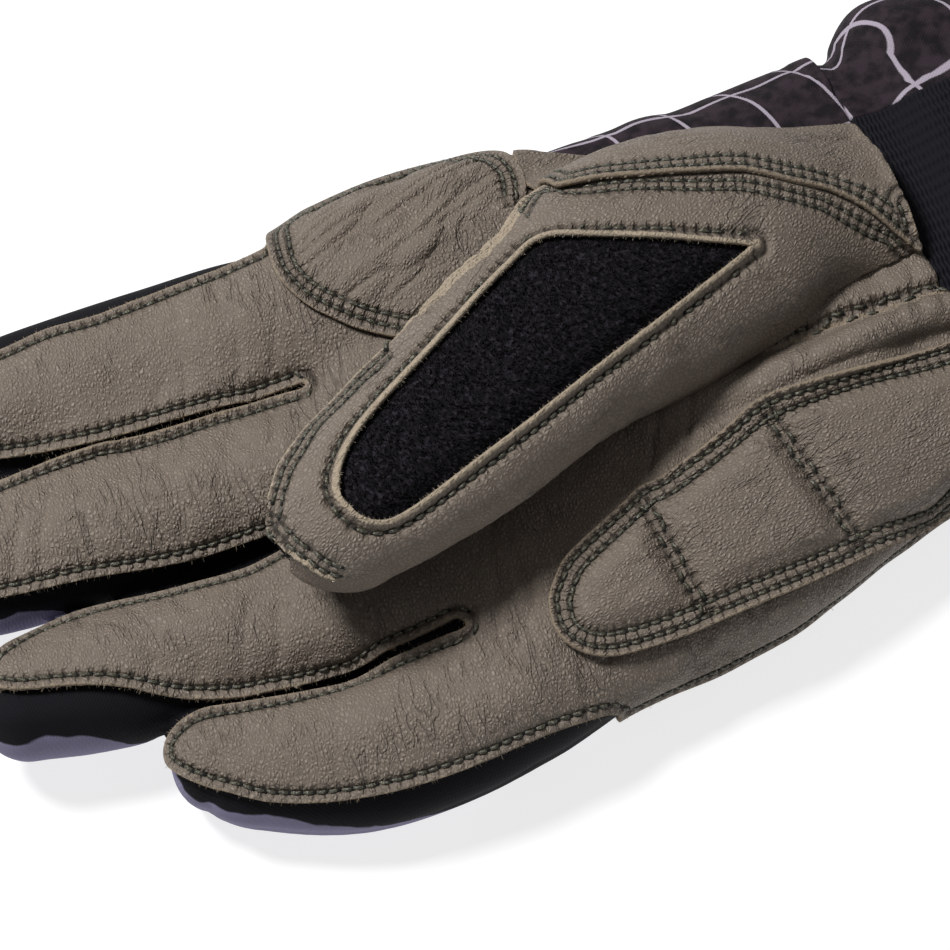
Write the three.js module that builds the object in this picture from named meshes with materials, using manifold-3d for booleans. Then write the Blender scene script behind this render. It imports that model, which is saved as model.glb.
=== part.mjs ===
// A right-hand cross-country ski glove, lying on its back, palm up, with the thumb folded over the palm.
// Millimetres. +X runs from the fingertips to the cuff, +Y from the little finger to the thumb side, +Z up.
// Every main form is a limb: a loft through a few oval sections. The limbs are joined, hollowed and cut
// into panels.
import * as THREE from "three";
import Module from "manifold-3d";
import { mergeVertices } from "three/addons/utils/BufferGeometryUtils.js";

const wasm = await Module();
wasm.setup();

// Driving dimensions
const WALL = 1.8; // padded fabric or leather wall of the hollow hand
const GAP = 0.3; // clear space between two neighbouring pieces
const PATCH = 1.5; // thickness of a leather patch sewn over the palm
const PAD_RISE = 2.2; // how far the heel pad's cells swell above their seams
const MOUTH = 2; // how far a hollow runs out past an open end
const SUNK = 1.2; // how deep a patch starts below the surface that then trims it
const LEATHER_SIDE = 11.5; // height on the sides of the hand at which the palm leather ends
const TOP = 80; // above everything, for cutters
const MIDDLE = new THREE.Vector2(21, 7.1); // centre of the outline on the floor, which becomes the origin

// Sections of each limb from its root to its end: centre, half width, half height. A tip or a root closes
// that end with a dome of that length. An oval with a square above 2 is flatter, and straight keeps it
// upright.
const PALM = {
  tip: 8, square: 2.4, straight: true,
  sections: [
    { x: 94, y: 14.5, z: 13.5, wide: 47.5, high: 15.5 },
    { x: 78, y: 12.5, z: 13.8, wide: 48, high: 16.2 },
    { x: 55, y: 9.5, z: 14, wide: 50, high: 16.5 },
    { x: 30, y: 6.5, z: 14, wide: 52, high: 16.5 },
    { x: 5, y: 4.5, z: 14, wide: 54, high: 16 },
    { x: -12, y: 4, z: 13.6, wide: 53, high: 14.4 },
    { x: -24, y: 3.5, z: 13, wide: 49, high: 11.6 },
  ],
};
const WEB = {
  tip: 7,
  sections: [
    { x: 46, y: 45, z: 17, wide: 8, high: 8 },
    { x: 30, y: 46, z: 18.5, wide: 13.5, high: 13.5 },
    { x: 8, y: 47.5, z: 18.5, wide: 15.5, high: 14 },
    { x: -12, y: 47.5, z: 18, wide: 14, high: 13.5 },
    { x: -28, y: 46.5, z: 16.5, wide: 12, high: 11.5 },
  ],
};
const WRIST_ROLL = {
  tip: 5,
  sections: [
    { x: 92, y: -3.4, z: 26.5, wide: 4, high: 4.4 },
    { x: 76, y: -5.2, z: 28.8, wide: 4, high: 4.4 },
    { x: 58, y: -7.2, z: 29, wide: 3.6, high: 3.8 },
    { x: 42, y: -9.4, z: 27.8, wide: 2.4, high: 2.4 },
  ],
};
const INDEX = {
  tip: 11,
  sections: [
    { x: 8, y: 44, z: 14, wide: 11, high: 11 },
    { x: -20, y: 45.5, z: 15.5, wide: 15.5, high: 14.5 },
    { x: -45, y: 46.8, z: 16.5, wide: 15.2, high: 13.6 },
    { x: -70, y: 47.5, z: 17.8, wide: 14.4, high: 12.6 },
    { x: -84, y: 47.5, z: 18.8, wide: 12.8, high: 11.4 },
  ],
};
const MIDDLE_FINGER = {
  tip: 11,
  sections: [
    { x: 8, y: 16, z: 13, wide: 10, high: 11 },
    { x: -25, y: 16, z: 14, wide: 14, high: 14 },
    { x: -55, y: 17.2, z: 14.5, wide: 13.8, high: 13 },
    { x: -82, y: 18.6, z: 15.8, wide: 13.2, high: 12.2 },
    { x: -97, y: 19, z: 17, wide: 11.8, high: 11 },
  ],
};
const RING_FINGER = {
  tip: 10,
  sections: [
    { x: 8, y: -10, z: 13, wide: 10, high: 11 },
    { x: -25, y: -11, z: 14, wide: 13.6, high: 13.8 },
    { x: -52, y: -10.5, z: 14, wide: 13.6, high: 12.8 },
    { x: -77, y: -8.5, z: 15, wide: 12.8, high: 12 },
    { x: -90, y: -7.5, z: 16, wide: 11.2, high: 10.6 },
  ],
};
const LITTLE_FINGER = {
  tip: 9.5,
  sections: [
    { x: 16, y: -33, z: 13, wide: 10, high: 10.5 },
    { x: -8, y: -38.4, z: 13, wide: 13.8, high: 13.6 },
    { x: -35, y: -39.2, z: 12, wide: 14, high: 12.6 },
    { x: -54, y: -33.4, z: 12.4, wide: 12.8, high: 11.6 },
    { x: -62, y: -29, z: 13, wide: 10.8, high: 10.6 },
  ],
};
const THUMB = {
  tip: 14, root: 12, square: 2.1,
  sections: [
    { x: 78, y: 14, z: 22, wide: 20, high: 15 },
    { x: 62, y: 22, z: 26.5, wide: 27, high: 20.5 },
    { x: 40, y: 20.5, z: 33, wide: 26.5, high: 18.5 },
    { x: 15, y: 10.5, z: 41, wide: 22, high: 14 },
    { x: -9, y: -0.2, z: 44, wide: 18.6, high: 12.4 },
    { x: -26, y: -7.6, z: 44.5, wide: 15, high: 11.4 },
  ],
};
const CUFF = {
  square: 2.4, straight: true,
  sections: [
    { x: 94.4, y: 14.6, z: 13.4, wide: 47.4, high: 15.4 },
    { x: 101, y: 15, z: 13.2, wide: 46.6, high: 14.8 },
    { x: 109, y: 16, z: 14.2, wide: 50.5, high: 16.2 },
    { x: 120, y: 16, z: 14.4, wide: 50, high: 16.4 },
    { x: 136, y: 16, z: 14.4, wide: 50.5, high: 16.4 },
    { x: 150, y: 16, z: 14.4, wide: 51.5, high: 16.4 },
  ],
};

// Edges of the palm leather on each finger, on the floor plan: its thumb side and little-finger side.
const FINGERS = [
  {
    limb: INDEX, end: { x: -94.5, y: 47.5 },
    leather: [
      { x: 0, thumbSide: 61, littleSide: 32 },
      { x: -22, thumbSide: 61.5, littleSide: 28.5 },
      { x: -45, thumbSide: 61.6, littleSide: 31.2 },
      { x: -66, thumbSide: 61.2, littleSide: 32.6 },
      { x: -84, thumbSide: 57.6, littleSide: 37 },
    ],
  },
  {
    limb: MIDDLE_FINGER, end: { x: -107.5, y: 19 },
    leather: [
      { x: 0, thumbSide: 24, littleSide: 6 },
      { x: -25, thumbSide: 25.5, littleSide: 3.5 },
      { x: -50, thumbSide: 28.5, littleSide: 4 },
      { x: -72, thumbSide: 29.5, littleSide: 7 },
      { x: -95, thumbSide: 27.5, littleSide: 11 },
    ],
  },
  {
    limb: RING_FINGER, end: { x: -98.5, y: -4.5 },
    leather: [
      { x: 0, thumbSide: 2, littleSide: -22 },
      { x: -22, thumbSide: 0.5, littleSide: -25.5 },
      { x: -38, thumbSide: 1, littleSide: -25 },
      { x: -54, thumbSide: 2.4, littleSide: -22.5 },
      { x: -70, thumbSide: 3.6, littleSide: -15.5 },
      { x: -86, thumbSide: 2, littleSide: -11 },
    ],
  },
  {
    limb: LITTLE_FINGER, end: { x: -71, y: -25 },
    leather: [
      { x: 4, thumbSide: -29, littleSide: -50.5 },
      { x: -14, thumbSide: -27.5, littleSide: -49.5 },
      { x: -35, thumbSide: -26, littleSide: -46.8 },
      { x: -52, thumbSide: -22.6, littleSide: -42 },
      { x: -64, thumbSide: -20.4, littleSide: -34.5 },
    ],
  },
];

// The other panels: an outline on the floor plan as [x, y] corners, cut out of the skin above a height.
const PALM_LEATHER = {
  from: LEATHER_SIDE,
  outline: [
    [95.5, -62], [14, -62], [2, -51], [-10, -49.8], [-12.5, -26.3], [-30, 2.5], [-22, 26.4], [-18, 61.5],
    [2, 64], [20, 63], [40, 57], [60, 52], [80, 46.5], [92, 41], [95.5, 22],
  ],
};
const WEB_PATCH = {
  from: 16,
  outline: [
    [-20.5, 60], [-20, 50], [-18, 43], [-12, 37], [-2, 31], [12, 26], [26, 36], [33, 50], [31, 60], [22, 68],
    [-10, 68],
  ],
};
const SIDE_LEATHER = {
  from: 14,
  outline: [
    [33.4, 41], [40, 37.8], [50, 34.4], [57, 31.8], [64, 28.3], [70, 24], [76, 18.6], [81, 11], [93.5, 11],
    [93.5, 40.5], [80, 45], [60, 51.5], [44, 56], [32, 58.5], [31, 50],
  ],
};
const THUMB_LEATHER = {
  from: 30,
  outline: [
    [-42, -8], [-36, 4], [-22, 11], [-4, 21], [10, 33], [22, 44], [33.4, 40.6], [40, 37.4], [50, 34],
    [57, 31.4], [64, 27.9], [70, 23.6], [75.6, 18.2], [80.6, 10.6], [96, 8], [96, -12], [60, -16],
    [30, -18], [0, -24], [-26, -26],
  ],
};
const NOSE_WIPE = {
  from: 30,
  outline: [
    [-28, -8.4], [-26, -3.9], [-16.7, 2.8], [0.1, 12.4], [21.5, 26], [26, 26.4], [42.2, 20.6], [60.3, 14],
    [46.9, 8.2], [23.8, -0.3], [1.5, -8.2], [-12, -12.6], [-20, -14.4], [-26, -12.8],
  ],
};
const CUFF_KNIT = {
  from: 14,
  outline: [[93, -24], [93, 42], [153, 42], [153, -24]],
};
// The heel pad's sewn seams from its rounded end to the wrist, with its two edges at each seam.
const HEEL_PAD = [
  { x: 3.5, thumbSide: -31.5, littleSide: -36.5 },
  { x: 29, thumbSide: -15.8, littleSide: -41.6 },
  { x: 58, thumbSide: -9.8, littleSide: -37.4 },
  { x: 93.5, thumbSide: -8.6, littleSide: -29.5 },
];
// Hollows of the palm: a line on the floor plan, how far the palm sinks there and how wide it spreads.
const PALM_HOLLOWS = [
  { x: -12, y: -10, toX: 26, toY: -6, sink: 3, spread: 11 },
  { x: -42, y: -10, toX: -24, toY: -12, sink: 1.6, spread: 7 },
];

// How finely each limb is divided: the outside, and the plainer inside.
const OUTSIDE = {
  palm: { rings: 11, sides: 32 },
  finger: { rings: 6, sides: 12 },
  thumb: { rings: 9, sides: 20 },
  roll: { rings: 5, sides: 10 },
  cuff: { rings: 7, sides: 36 },
};
const INSIDE = {
  palm: { rings: 7, sides: 16 },
  finger: { rings: 4, sides: 8 },
  thumb: { rings: 6, sides: 12 },
};
const DOME_RINGS = 3;
const STRIP_STEPS = 24;
const CUFF_WAVES = { height: 0.9, count: 9, from: 101, over: 8, until: 150, fade: 30, least: 0.25 };

const LEATHER = { color: 0x6b6152, roughness: 0.62, metalness: 0 };
const BLACK_FABRIC = { color: 0x1d1b1f, roughness: 0.9, metalness: 0 };
const PRINTED_FABRIC = { color: 0x2b2430, roughness: 0.85, metalness: 0 };
const SUEDE = { color: 0x24211c, roughness: 0.98, metalness: 0 };

const mix = THREE.MathUtils.lerp;
const clamp = THREE.MathUtils.clamp;

// A smooth value of one column along a limb, at t from 0 to 1.
function along(sections, column, t) {
  const curve = new THREE.CatmullRomCurve3(sections.map((s, i) => new THREE.Vector3(i, s[column], 0)));
  return curve.getPoint(t).y;
}

// The limb's section at t: its centre and the directions of its length, width and height.
function sectionAt({ sections, straight }, t) {
  const line = new THREE.CatmullRomCurve3(sections.map((s) => new THREE.Vector3(s.x, s.y, s.z)));
  const lengthwise = new THREE.Vector3(Math.sign(sections.at(-1).x - sections[0].x), 0, 0);
  const forward = straight ? lengthwise : line.getTangent(t);
  const across = new THREE.Vector3(0, 0, 1).cross(forward).normalize();
  return {
    centre: line.getPoint(t),
    forward,
    across,
    above: forward.clone().cross(across),
    wide: along(sections, "wide", t),
    high: along(sections, "high", t),
  };
}

function manifoldOf(geometry) {
  const bare = new THREE.BufferGeometry();
  bare.setAttribute("position", geometry.getAttribute("position"));
  bare.setIndex(geometry.index);
  const merged = mergeVertices(bare, 1e-4);
  const mesh = new wasm.Mesh({
    numProp: 3,
    vertProperties: new Float32Array(merged.attributes.position.array),
    triVerts: new Uint32Array(merged.index.array),
  });
  return new wasm.Manifold(mesh);
}

function meshOf(solid, material) {
  const made = solid.getMesh();
  const geometry = new THREE.BufferGeometry();
  geometry.setAttribute("position", new THREE.BufferAttribute(made.vertProperties, 3));
  geometry.setIndex(new THREE.BufferAttribute(made.triVerts, 1));
  return new THREE.Mesh(geometry, material);
}

// A closed solid from rings of points, with a fan over each end ring.
function solidFromRings(rings) {
  const sides = rings[0].length;
  const middle = (ring) =>
    ring.reduce((sum, p) => sum.add(p), new THREE.Vector3()).multiplyScalar(1 / sides);
  const points = [...rings.flat(), middle(rings[0]), middle(rings.at(-1))];
  const last = (rings.length - 1) * sides;
  const index = [];
  for (let s = 0; s < sides; s++) {
    const next = (s + 1) % sides;
    for (let base = 0; base < last; base += sides) {
      index.push(base + s, base + next, base + sides + s);
      index.push(base + next, base + sides + next, base + sides + s);
    }
    index.push(points.length - 2, next, s);
    index.push(points.length - 1, last + s, last + next);
  }
  const geometry = new THREE.BufferGeometry().setFromPoints(points);
  geometry.setIndex(index);
  return manifoldOf(geometry);
}

// Rings are spaced along the limb, and close over a domed tip and a domed root where it has them.
function ringPlaces({ tip = 0, root = 0 }, rings) {
  const dome = (r, t, length) => {
    const bend = (Math.PI / 2) * (r / (DOME_RINGS + 1 / 3));
    return { t, scale: Math.cos(bend), reach: length * Math.sin(bend) };
  };
  const places = [];
  for (let r = DOME_RINGS; r > 0 && root > 0; r--) places.push(dome(r, 0, -root));
  for (let r = 0; r <= rings; r++) places.push({ t: r / rings, scale: 1, reach: 0 });
  for (let r = 1; r <= DOME_RINGS && tip > 0; r++) places.push(dome(r, 1, tip));
  return places;
}

// A limb grown outwards by grow millimetres. It stands on the floor, and its hollow stays a wall above it.
// A mouth is how far it runs on past its open ends.
function limbSolid(limb, { grow = 0, rings, sides, mouth = 0, ripple = () => 0, sink = () => 0 }) {
  const places = ringPlaces(limb, rings);
  const power = 2 / (limb.square ?? 2);
  const squared = (turn) => Math.sign(turn) * Math.abs(turn) ** power;
  const ovals = places.map(({ t, scale, reach }, i) => {
    const section = sectionAt(limb, t);
    const open = (i === 0 ? -mouth : 0) + (i === places.length - 1 && !limb.tip ? mouth : 0);
    return Array.from({ length: sides }, (_, s) => {
      const angle = (2 * Math.PI * s) / sides;
      const more = grow + ripple(section.centre.x, angle);
      const p = section.centre
        .clone()
        .addScaledVector(section.across, (section.wide + more) * squared(Math.cos(angle)) * scale)
        .addScaledVector(section.above, (section.high + more) * squared(Math.sin(angle)) * scale)
        .addScaledVector(section.forward, reach + Math.sign(reach) * grow + open);
      p.z -= sink(p.x, p.y) * Math.max(0, Math.sin(angle));
      p.z = Math.max(p.z, -Math.min(grow, 0));
      return p;
    });
  });
  return solidFromRings(ovals);
}

// A closed outline moved outwards by spare, corner by corner.
function widened(outline, spare) {
  const corners = outline.map(([x, y]) => new THREE.Vector2(x, y));
  const turn = Math.sign(THREE.ShapeUtils.area(corners));
  return corners.map((corner, i) => {
    const into = corner.clone().sub(corners.at(i - 1)).normalize();
    const out = corners[(i + 1) % corners.length].clone().sub(corner).normalize();
    const normal = new THREE.Vector2(into.y + out.y, -into.x - out.x).multiplyScalar(turn);
    const move = (2 * spare) / Math.max(normal.lengthSq(), 1);
    return [corner.x + normal.x * move, corner.y + normal.y * move];
  });
}

// An upright cutter in the shape of a panel, wider than it by spare.
function cutter({ from, outline }, spare = 0) {
  const shape = new THREE.Shape(widened(outline, spare).map(([x, y]) => new THREE.Vector2(x, y)));
  const geometry = new THREE.ExtrudeGeometry(shape, { depth: TOP - from, bevelEnabled: false });
  return manifoldOf(geometry.translate(0, 0, from));
}

// How far the palm sinks at a place on the floor plan.
function palmSink(x, y) {
  return PALM_HOLLOWS.reduce((sum, hollow) => {
    const [dx, dy] = [hollow.toX - hollow.x, hollow.toY - hollow.y];
    const t = clamp(((x - hollow.x) * dx + (y - hollow.y) * dy) / (dx * dx + dy * dy), 0, 1);
    const away = Math.hypot(x - hollow.x - t * dx, y - hollow.y - t * dy) / hollow.spread;
    return sum + hollow.sink * Math.exp(-away * away);
  }, 0);
}

function handSolid(grow, mesh = OUTSIDE, mouth = 0) {
  let hand = limbSolid(PALM, { grow, mouth, sink: palmSink, ...mesh.palm });
  for (const limb of [WEB, INDEX, MIDDLE_FINGER, RING_FINGER, LITTLE_FINGER]) {
    hand = hand.add(limbSolid(limb, { grow, ...mesh.finger }));
  }
  return mesh.roll ? hand.add(limbSolid(WRIST_ROLL, { grow, ...mesh.roll })) : hand;
}

function thumbSolid(grow, mesh = OUTSIDE) {
  return limbSolid(THUMB, { grow, ...mesh.thumb });
}

// The cuff flares past the wrist and stands in shallow waves.
function cuffWave(x, angle) {
  const { height, count, from, over, until, fade, least } = CUFF_WAVES;
  const flare = clamp((x - from) / over, 0, 1) * clamp((until - x) / fade, least, 1);
  return height * flare * Math.sin(count * angle);
}

function cuffSolid(grow, mouth = 0) {
  return limbSolid(CUFF, { grow, mouth, ripple: cuffWave, ...OUTSIDE.cuff });
}

// The palm leather's strip on one finger: down its thumb side, round its tip and back.
function fingerStrip({ leather, end }, spare) {
  const thumbSide = leather.map((row) => new THREE.Vector3(row.x, row.thumbSide + spare, 0));
  const littleSide = leather.map((row) => new THREE.Vector3(row.x, row.littleSide - spare, 0));
  const tip = new THREE.Vector3(end.x - spare, end.y, 0);
  const edge = new THREE.CatmullRomCurve3([...thumbSide, tip, ...littleSide.reverse()]);
  return cutter({ from: LEATHER_SIDE, outline: edge.getPoints(STRIP_STEPS).map((p) => [p.x, p.y]) });
}

function palmCutter(spare) {
  return FINGERS.reduce((all, finger) => all.add(fingerStrip(finger, spare)), cutter(PALM_LEATHER));
}

// Height of a solid's skin above a place on the floor plan.
function heightOver(solid) {
  const skin = meshOf(solid, new THREE.MeshBasicMaterial());
  const down = new THREE.Vector3(0, 0, -1);
  return (x, y) => {
    const ray = new THREE.Raycaster(new THREE.Vector3(x, y, TOP), down);
    return ray.intersectObject(skin)[0]?.point.z ?? 0;
  };
}

// The heel pad: three cells that swell between their seams. Its underside is trimmed by the palm afterwards.
function heelPadSolid(palmHeight) {
  const ALONG = [0, 0.14, 0.38, 0.68, 0.9];
  const ACROSS = [0, 0.1, 0.28, 0.5, 0.72, 0.9, 1];
  const swell = (s) => 1 - Math.abs(2 * s - 1) ** 3;
  const rounded = (s) => Math.sqrt(1 - (1 - s) ** 2);
  const sections = HEEL_PAD.slice(1).flatMap((to, cell) => {
    const steps = cell === HEEL_PAD.length - 2 ? [...ALONG, 1] : ALONG;
    return steps.map((s) => ({ from: HEEL_PAD[cell], to, s, edge: cell === 0 ? rounded(s) : s }));
  });
  const rings = sections.map(({ from, to, s, edge }) => {
    const x = mix(from.x, to.x, s);
    const thumbSide = mix(from.thumbSide, to.thumbSide, edge);
    const littleSide = mix(from.littleSide, to.littleSide, edge);
    const skin = ACROSS.map((v) => ({ v, y: mix(thumbSide, littleSide, v) }));
    const above = ({ v, y }) => palmHeight(x, y) + GAP + PATCH + PAD_RISE * swell(s) * swell(v);
    const below = ({ y }) => palmHeight(x, y) - SUNK;
    return [
      ...skin.map((place) => new THREE.Vector3(x, place.y, above(place))),
      ...skin.toReversed().map((place) => new THREE.Vector3(x, place.y, below(place))),
    ];
  });
  return solidFromRings(rings);
}

// A cut can leave slivers beside the piece itself, which is always the largest body.
function largest(solid) {
  return solid.decompose().sort((a, b) => b.volume() - a.volume())[0];
}

// The hollow hand and the hollow thumb, which share one inside.
const handSkin = handSolid(0);
const thumbInside = thumbSolid(-WALL, INSIDE);
const handWall = handSkin.subtract(handSolid(-WALL, INSIDE, MOUTH)).subtract(thumbInside);
const handClear = handSolid(GAP);
const thumbWall = thumbSolid(0).subtract(thumbInside).subtract(handClear);
const cuffWall = cuffSolid(0).subtract(cuffSolid(-WALL, MOUTH));

// Leather patches lie over the hand and, where they reach it, over the thumb.
const handPatch = handSolid(GAP + PATCH).subtract(handClear).subtract(thumbSolid(2 * GAP + PATCH));
const sidePatch = handSolid(GAP + PATCH).add(thumbSolid(GAP + PATCH)).subtract(handClear);

const thumbUpper = thumbWall.intersect(cutter(THUMB_LEATHER));
const PIECES = {
  palm_leather: [LEATHER, handWall.intersect(palmCutter(0))],
  back_fabric: [PRINTED_FABRIC, handWall.subtract(palmCutter(GAP))],
  thumb_underside: [BLACK_FABRIC, thumbWall.subtract(cutter(THUMB_LEATHER, GAP))],
  thumb_leather: [LEATHER, thumbUpper.subtract(cutter(NOSE_WIPE, GAP))],
  nose_wipe: [SUEDE, thumbWall.intersect(cutter(NOSE_WIPE))],
  web_patch: [LEATHER, handPatch.intersect(cutter(WEB_PATCH)).subtract(cutter(SIDE_LEATHER, GAP))],
  side_leather: [LEATHER, sidePatch.intersect(cutter(SIDE_LEATHER)).subtract(thumbSolid(GAP))],
  heel_pad: [LEATHER, heelPadSolid(heightOver(handSkin)).subtract(handClear)],
  cuff: [PRINTED_FABRIC, cuffWall.subtract(cutter(CUFF_KNIT, GAP))],
  cuff_knit: [BLACK_FABRIC, cuffWall.intersect(cutter(CUFF_KNIT))],
};

const glove = new THREE.Group();
for (const [name, [finish, solid]] of Object.entries(PIECES)) {
  const piece = meshOf(largest(solid), new THREE.MeshStandardMaterial(finish));
  piece.name = name;
  piece.position.set(-MIDDLE.x, -MIDDLE.y, 0);
  glove.add(piece);
}
export default glove;
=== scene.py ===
# A right-hand cross-country ski glove lying on its back, palm up, with the thumb folded over the palm.
# Shapes are worked out in millimetres on the pattern's own floor plan, and become metres in the frame.
import math

import bpy
import numpy as np
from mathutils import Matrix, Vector
from mathutils.kdtree import KDTree


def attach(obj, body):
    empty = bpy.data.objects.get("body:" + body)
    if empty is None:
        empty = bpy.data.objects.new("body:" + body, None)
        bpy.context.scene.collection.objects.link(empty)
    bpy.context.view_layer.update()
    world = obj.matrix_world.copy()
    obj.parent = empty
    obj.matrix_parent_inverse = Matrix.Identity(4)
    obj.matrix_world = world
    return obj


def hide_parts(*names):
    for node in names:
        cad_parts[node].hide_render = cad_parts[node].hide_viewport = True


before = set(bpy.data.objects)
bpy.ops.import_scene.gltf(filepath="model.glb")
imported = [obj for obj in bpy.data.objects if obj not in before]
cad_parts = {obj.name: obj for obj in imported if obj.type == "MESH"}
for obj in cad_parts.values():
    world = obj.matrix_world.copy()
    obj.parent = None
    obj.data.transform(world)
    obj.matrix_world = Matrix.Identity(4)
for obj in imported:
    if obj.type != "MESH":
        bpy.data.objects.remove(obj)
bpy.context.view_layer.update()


# Camera, light and floor
# The glove is seen from above the wrist of its little-finger side, in the soft light of a white room with one
# large lamp up on the left, on a plain pale floor.

CAMERA_AT = (-0.123905, -0.261799, 0.614100)
CAMERA_TO = (-0.021, -0.0071, 0.025)
LENS = 135

camera_data = bpy.data.cameras.new("camera")
camera_data.lens = LENS
camera_data.sensor_width = 36
camera_data.clip_start = 0.01
camera_data.clip_end = 10
camera = bpy.data.objects.new("camera", camera_data)
camera.location = CAMERA_AT
camera.rotation_mode = "QUATERNION"
camera.rotation_quaternion = (Vector(CAMERA_TO) - Vector(CAMERA_AT)).to_track_quat("-Z", "Y")
bpy.context.scene.collection.objects.link(camera)
bpy.context.scene.camera = camera
bpy.context.scene.view_settings.view_transform = "Standard"


def soft_lamp(name, at, towards, size, power):
    data = bpy.data.lights.new(name, "AREA")
    data.shape = "DISK"
    data.size = size
    data.energy = power
    lamp = bpy.data.objects.new(name, data)
    lamp.location = at
    lamp.rotation_mode = "QUATERNION"
    lamp.rotation_quaternion = (Vector(towards) - Vector(at)).to_track_quat("-Z", "Y")
    bpy.context.scene.collection.objects.link(lamp)


soft_lamp("key_lamp", (-0.40, 0.37, 0.92), (0, 0, 0.02), 0.26, 12.8)
soft_lamp("fill_lamp", (0.5, -0.2, 0.9), (0, 0, 0.02), 0.9, 0.8)

room = bpy.data.worlds.new("white_room")
room.use_nodes = True
room.node_tree.nodes["Background"].inputs["Color"].default_value = (1, 1, 1, 1)
room.node_tree.nodes["Background"].inputs["Strength"].default_value = 0.1
bpy.context.scene.world = room

FLOOR_REACH = 6
floor_corners = [(x * FLOOR_REACH, y * FLOOR_REACH, 0) for x, y in ((-1, -1), (1, -1), (1, 1), (-1, 1))]
floor_mesh = bpy.data.meshes.new("floor")
floor_mesh.from_pydata(floor_corners, [], [(0, 1, 2, 3)])
floor = bpy.data.objects.new("floor", floor_mesh)
bpy.context.scene.collection.objects.link(floor)
floor_paint = bpy.data.materials.new("floor_paint")
floor_paint.use_nodes = True
floor_shader = floor_paint.node_tree.nodes["Principled BSDF"]
floor_shader.inputs["Base Color"].default_value = (0.34, 0.34, 0.34, 1)
floor_shader.inputs["Roughness"].default_value = 0.9
floor_shader.inputs["Emission Color"].default_value = (1, 1, 1, 1)
floor_shader.inputs["Emission Strength"].default_value = 0.76
floor_mesh.materials.append(floor_paint)


# Back of the hand and sides of the fingers
# Stretch fabric with a thin padding: printed with pale crossing lines over the back and the wrist, plain
# black along the sides of the fingers and lavender on their backs. The palm leather is sewn on over its edge.

# The hand's own forms, as in the part's source, but for the thumb, which is fitted closer: sections from the
# root of each limb to its end. A tip or a root closes that end with a dome of that length, and an oval with a
# square above 2 is flatter.
SECTION = ("x", "y", "z", "wide", "high")
PALM = {
    "square": 2.4, "straight": True, "tip": 8,
    "sections": [
        (94, 14.5, 13.5, 47.5, 15.5), (78, 12.5, 13.8, 48, 16.2), (55, 9.5, 14, 50, 16.5),
        (30, 6.5, 14, 52, 16.5), (5, 4.5, 14, 54, 16), (-12, 4, 13.6, 53, 14.4), (-24, 3.5, 13, 49, 11.6),
    ],
}
WEB = {
    "tip": 7, "root": 8,
    "sections": [
        (46, 45, 17, 8, 8), (30, 46, 18.5, 13.5, 13.5), (8, 47.5, 18.5, 15.5, 14),
        (-12, 47.5, 18, 14, 13.5), (-28, 46.5, 16.5, 12, 11.5),
    ],
}
WRIST_ROLL = {
    "tip": 5,
    "sections": [
        (92, -3.4, 26.5, 4, 4.4), (76, -5.2, 28.8, 4, 4.4), (58, -7.2, 29, 3.6, 3.8),
        (42, -9.4, 27.8, 2.4, 2.4),
    ],
}
INDEX = {
    "tip": 11, "root": 8,
    "sections": [
        (8, 44, 14, 11, 11), (-20, 45.5, 15.5, 15.5, 14.5), (-45, 46.8, 16.5, 15.2, 13.6),
        (-70, 47.5, 17.8, 14.4, 12.6), (-84, 47.5, 18.8, 12.8, 11.4),
    ],
}
MIDDLE_FINGER = {
    "tip": 11, "root": 8,
    "sections": [
        (8, 16, 13, 10, 11), (-25, 16, 14, 14, 14), (-55, 17.2, 14.5, 13.8, 13),
        (-82, 18.6, 15.8, 13.2, 12.2), (-97, 19, 17, 11.8, 11),
    ],
}
RING_FINGER = {
    "tip": 10, "root": 8,
    "sections": [
        (8, -10, 13, 10, 11), (-25, -11, 14, 13.6, 13.8), (-52, -10.5, 14, 13.6, 12.8),
        (-77, -8.5, 15, 12.8, 12), (-90, -7.5, 16, 11.2, 10.6),
    ],
}
LITTLE_FINGER = {
    "tip": 9.5, "root": 8,
    "sections": [
        (16, -33, 13, 10, 10.5), (-8, -38.4, 13, 13.8, 13.6), (-35, -39.2, 12, 14, 12.6),
        (-54, -33.4, 12.4, 12.8, 11.6), (-62, -29, 13, 10.8, 10.6),
    ],
}
THUMB = {
    "tip": 14, "root": 8, "square": 2.1,
    "sections": [
        (98, 19, 17, 14, 13.5), (80, 24, 23.5, 17, 16), (62, 24.5, 27, 22.5, 20), (40, 21.8, 33, 24.5, 18.5),
        (15, 11.2, 41, 21, 14), (-9, 0.2, 44, 18.6, 12.4), (-28, -6.2, 44.5, 15, 11.4),
    ],
}
# Hollows of the palm: a line on the floor plan, how far the palm sinks there and how wide it spreads.
PALM_HOLLOWS = [
    {"start": (-12, -10), "stop": (26, -6), "sink": 3, "spread": 11},
    {"start": (-42, -10), "stop": (-24, -12), "sink": 1.6, "spread": 7},
]
# A hollow comes in between these heights, so the back of the hand keeps its form.
HOLLOW_HEIGHTS = (14, 24)
# The line of the finger roots on the floor plan: past it towards the tips, the fingers part from each other.
FINGER_ROOTS = {"y": (-50, -26, 2.5, 26.4, 61.5), "x": (-8, -12.5, -30, -22, -18)}
# The middle of the floor plan, which is the origin of the frame, and a millimetre in the frame's metres.
MIDDLE = np.array((21, 7.1, 0))
MM = 0.001
STATIONS = 160
# Creases between limbs are filled over these widths. Between the fingers it grows over a span at their roots.
FINGERS_APART, FINGERS_JOINED = 0.6, 5.0
ROOT_SPAN = (-12, 7)
ROLL_BLEND = 3.0
ROLL_RUNS_ON = (60, 0, 0)
FLOOR_BLEND = 2.5
# How far the leather stands out at the heel of the hand and at the thumb side, and fills one finger crease.
HEEL_SWELL = 3.0
THUMB_SIDE_SWELL = 1.5
CREASE_FILL = {"y": 31.8, "spread": 4.5, "high": 2.4}


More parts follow.
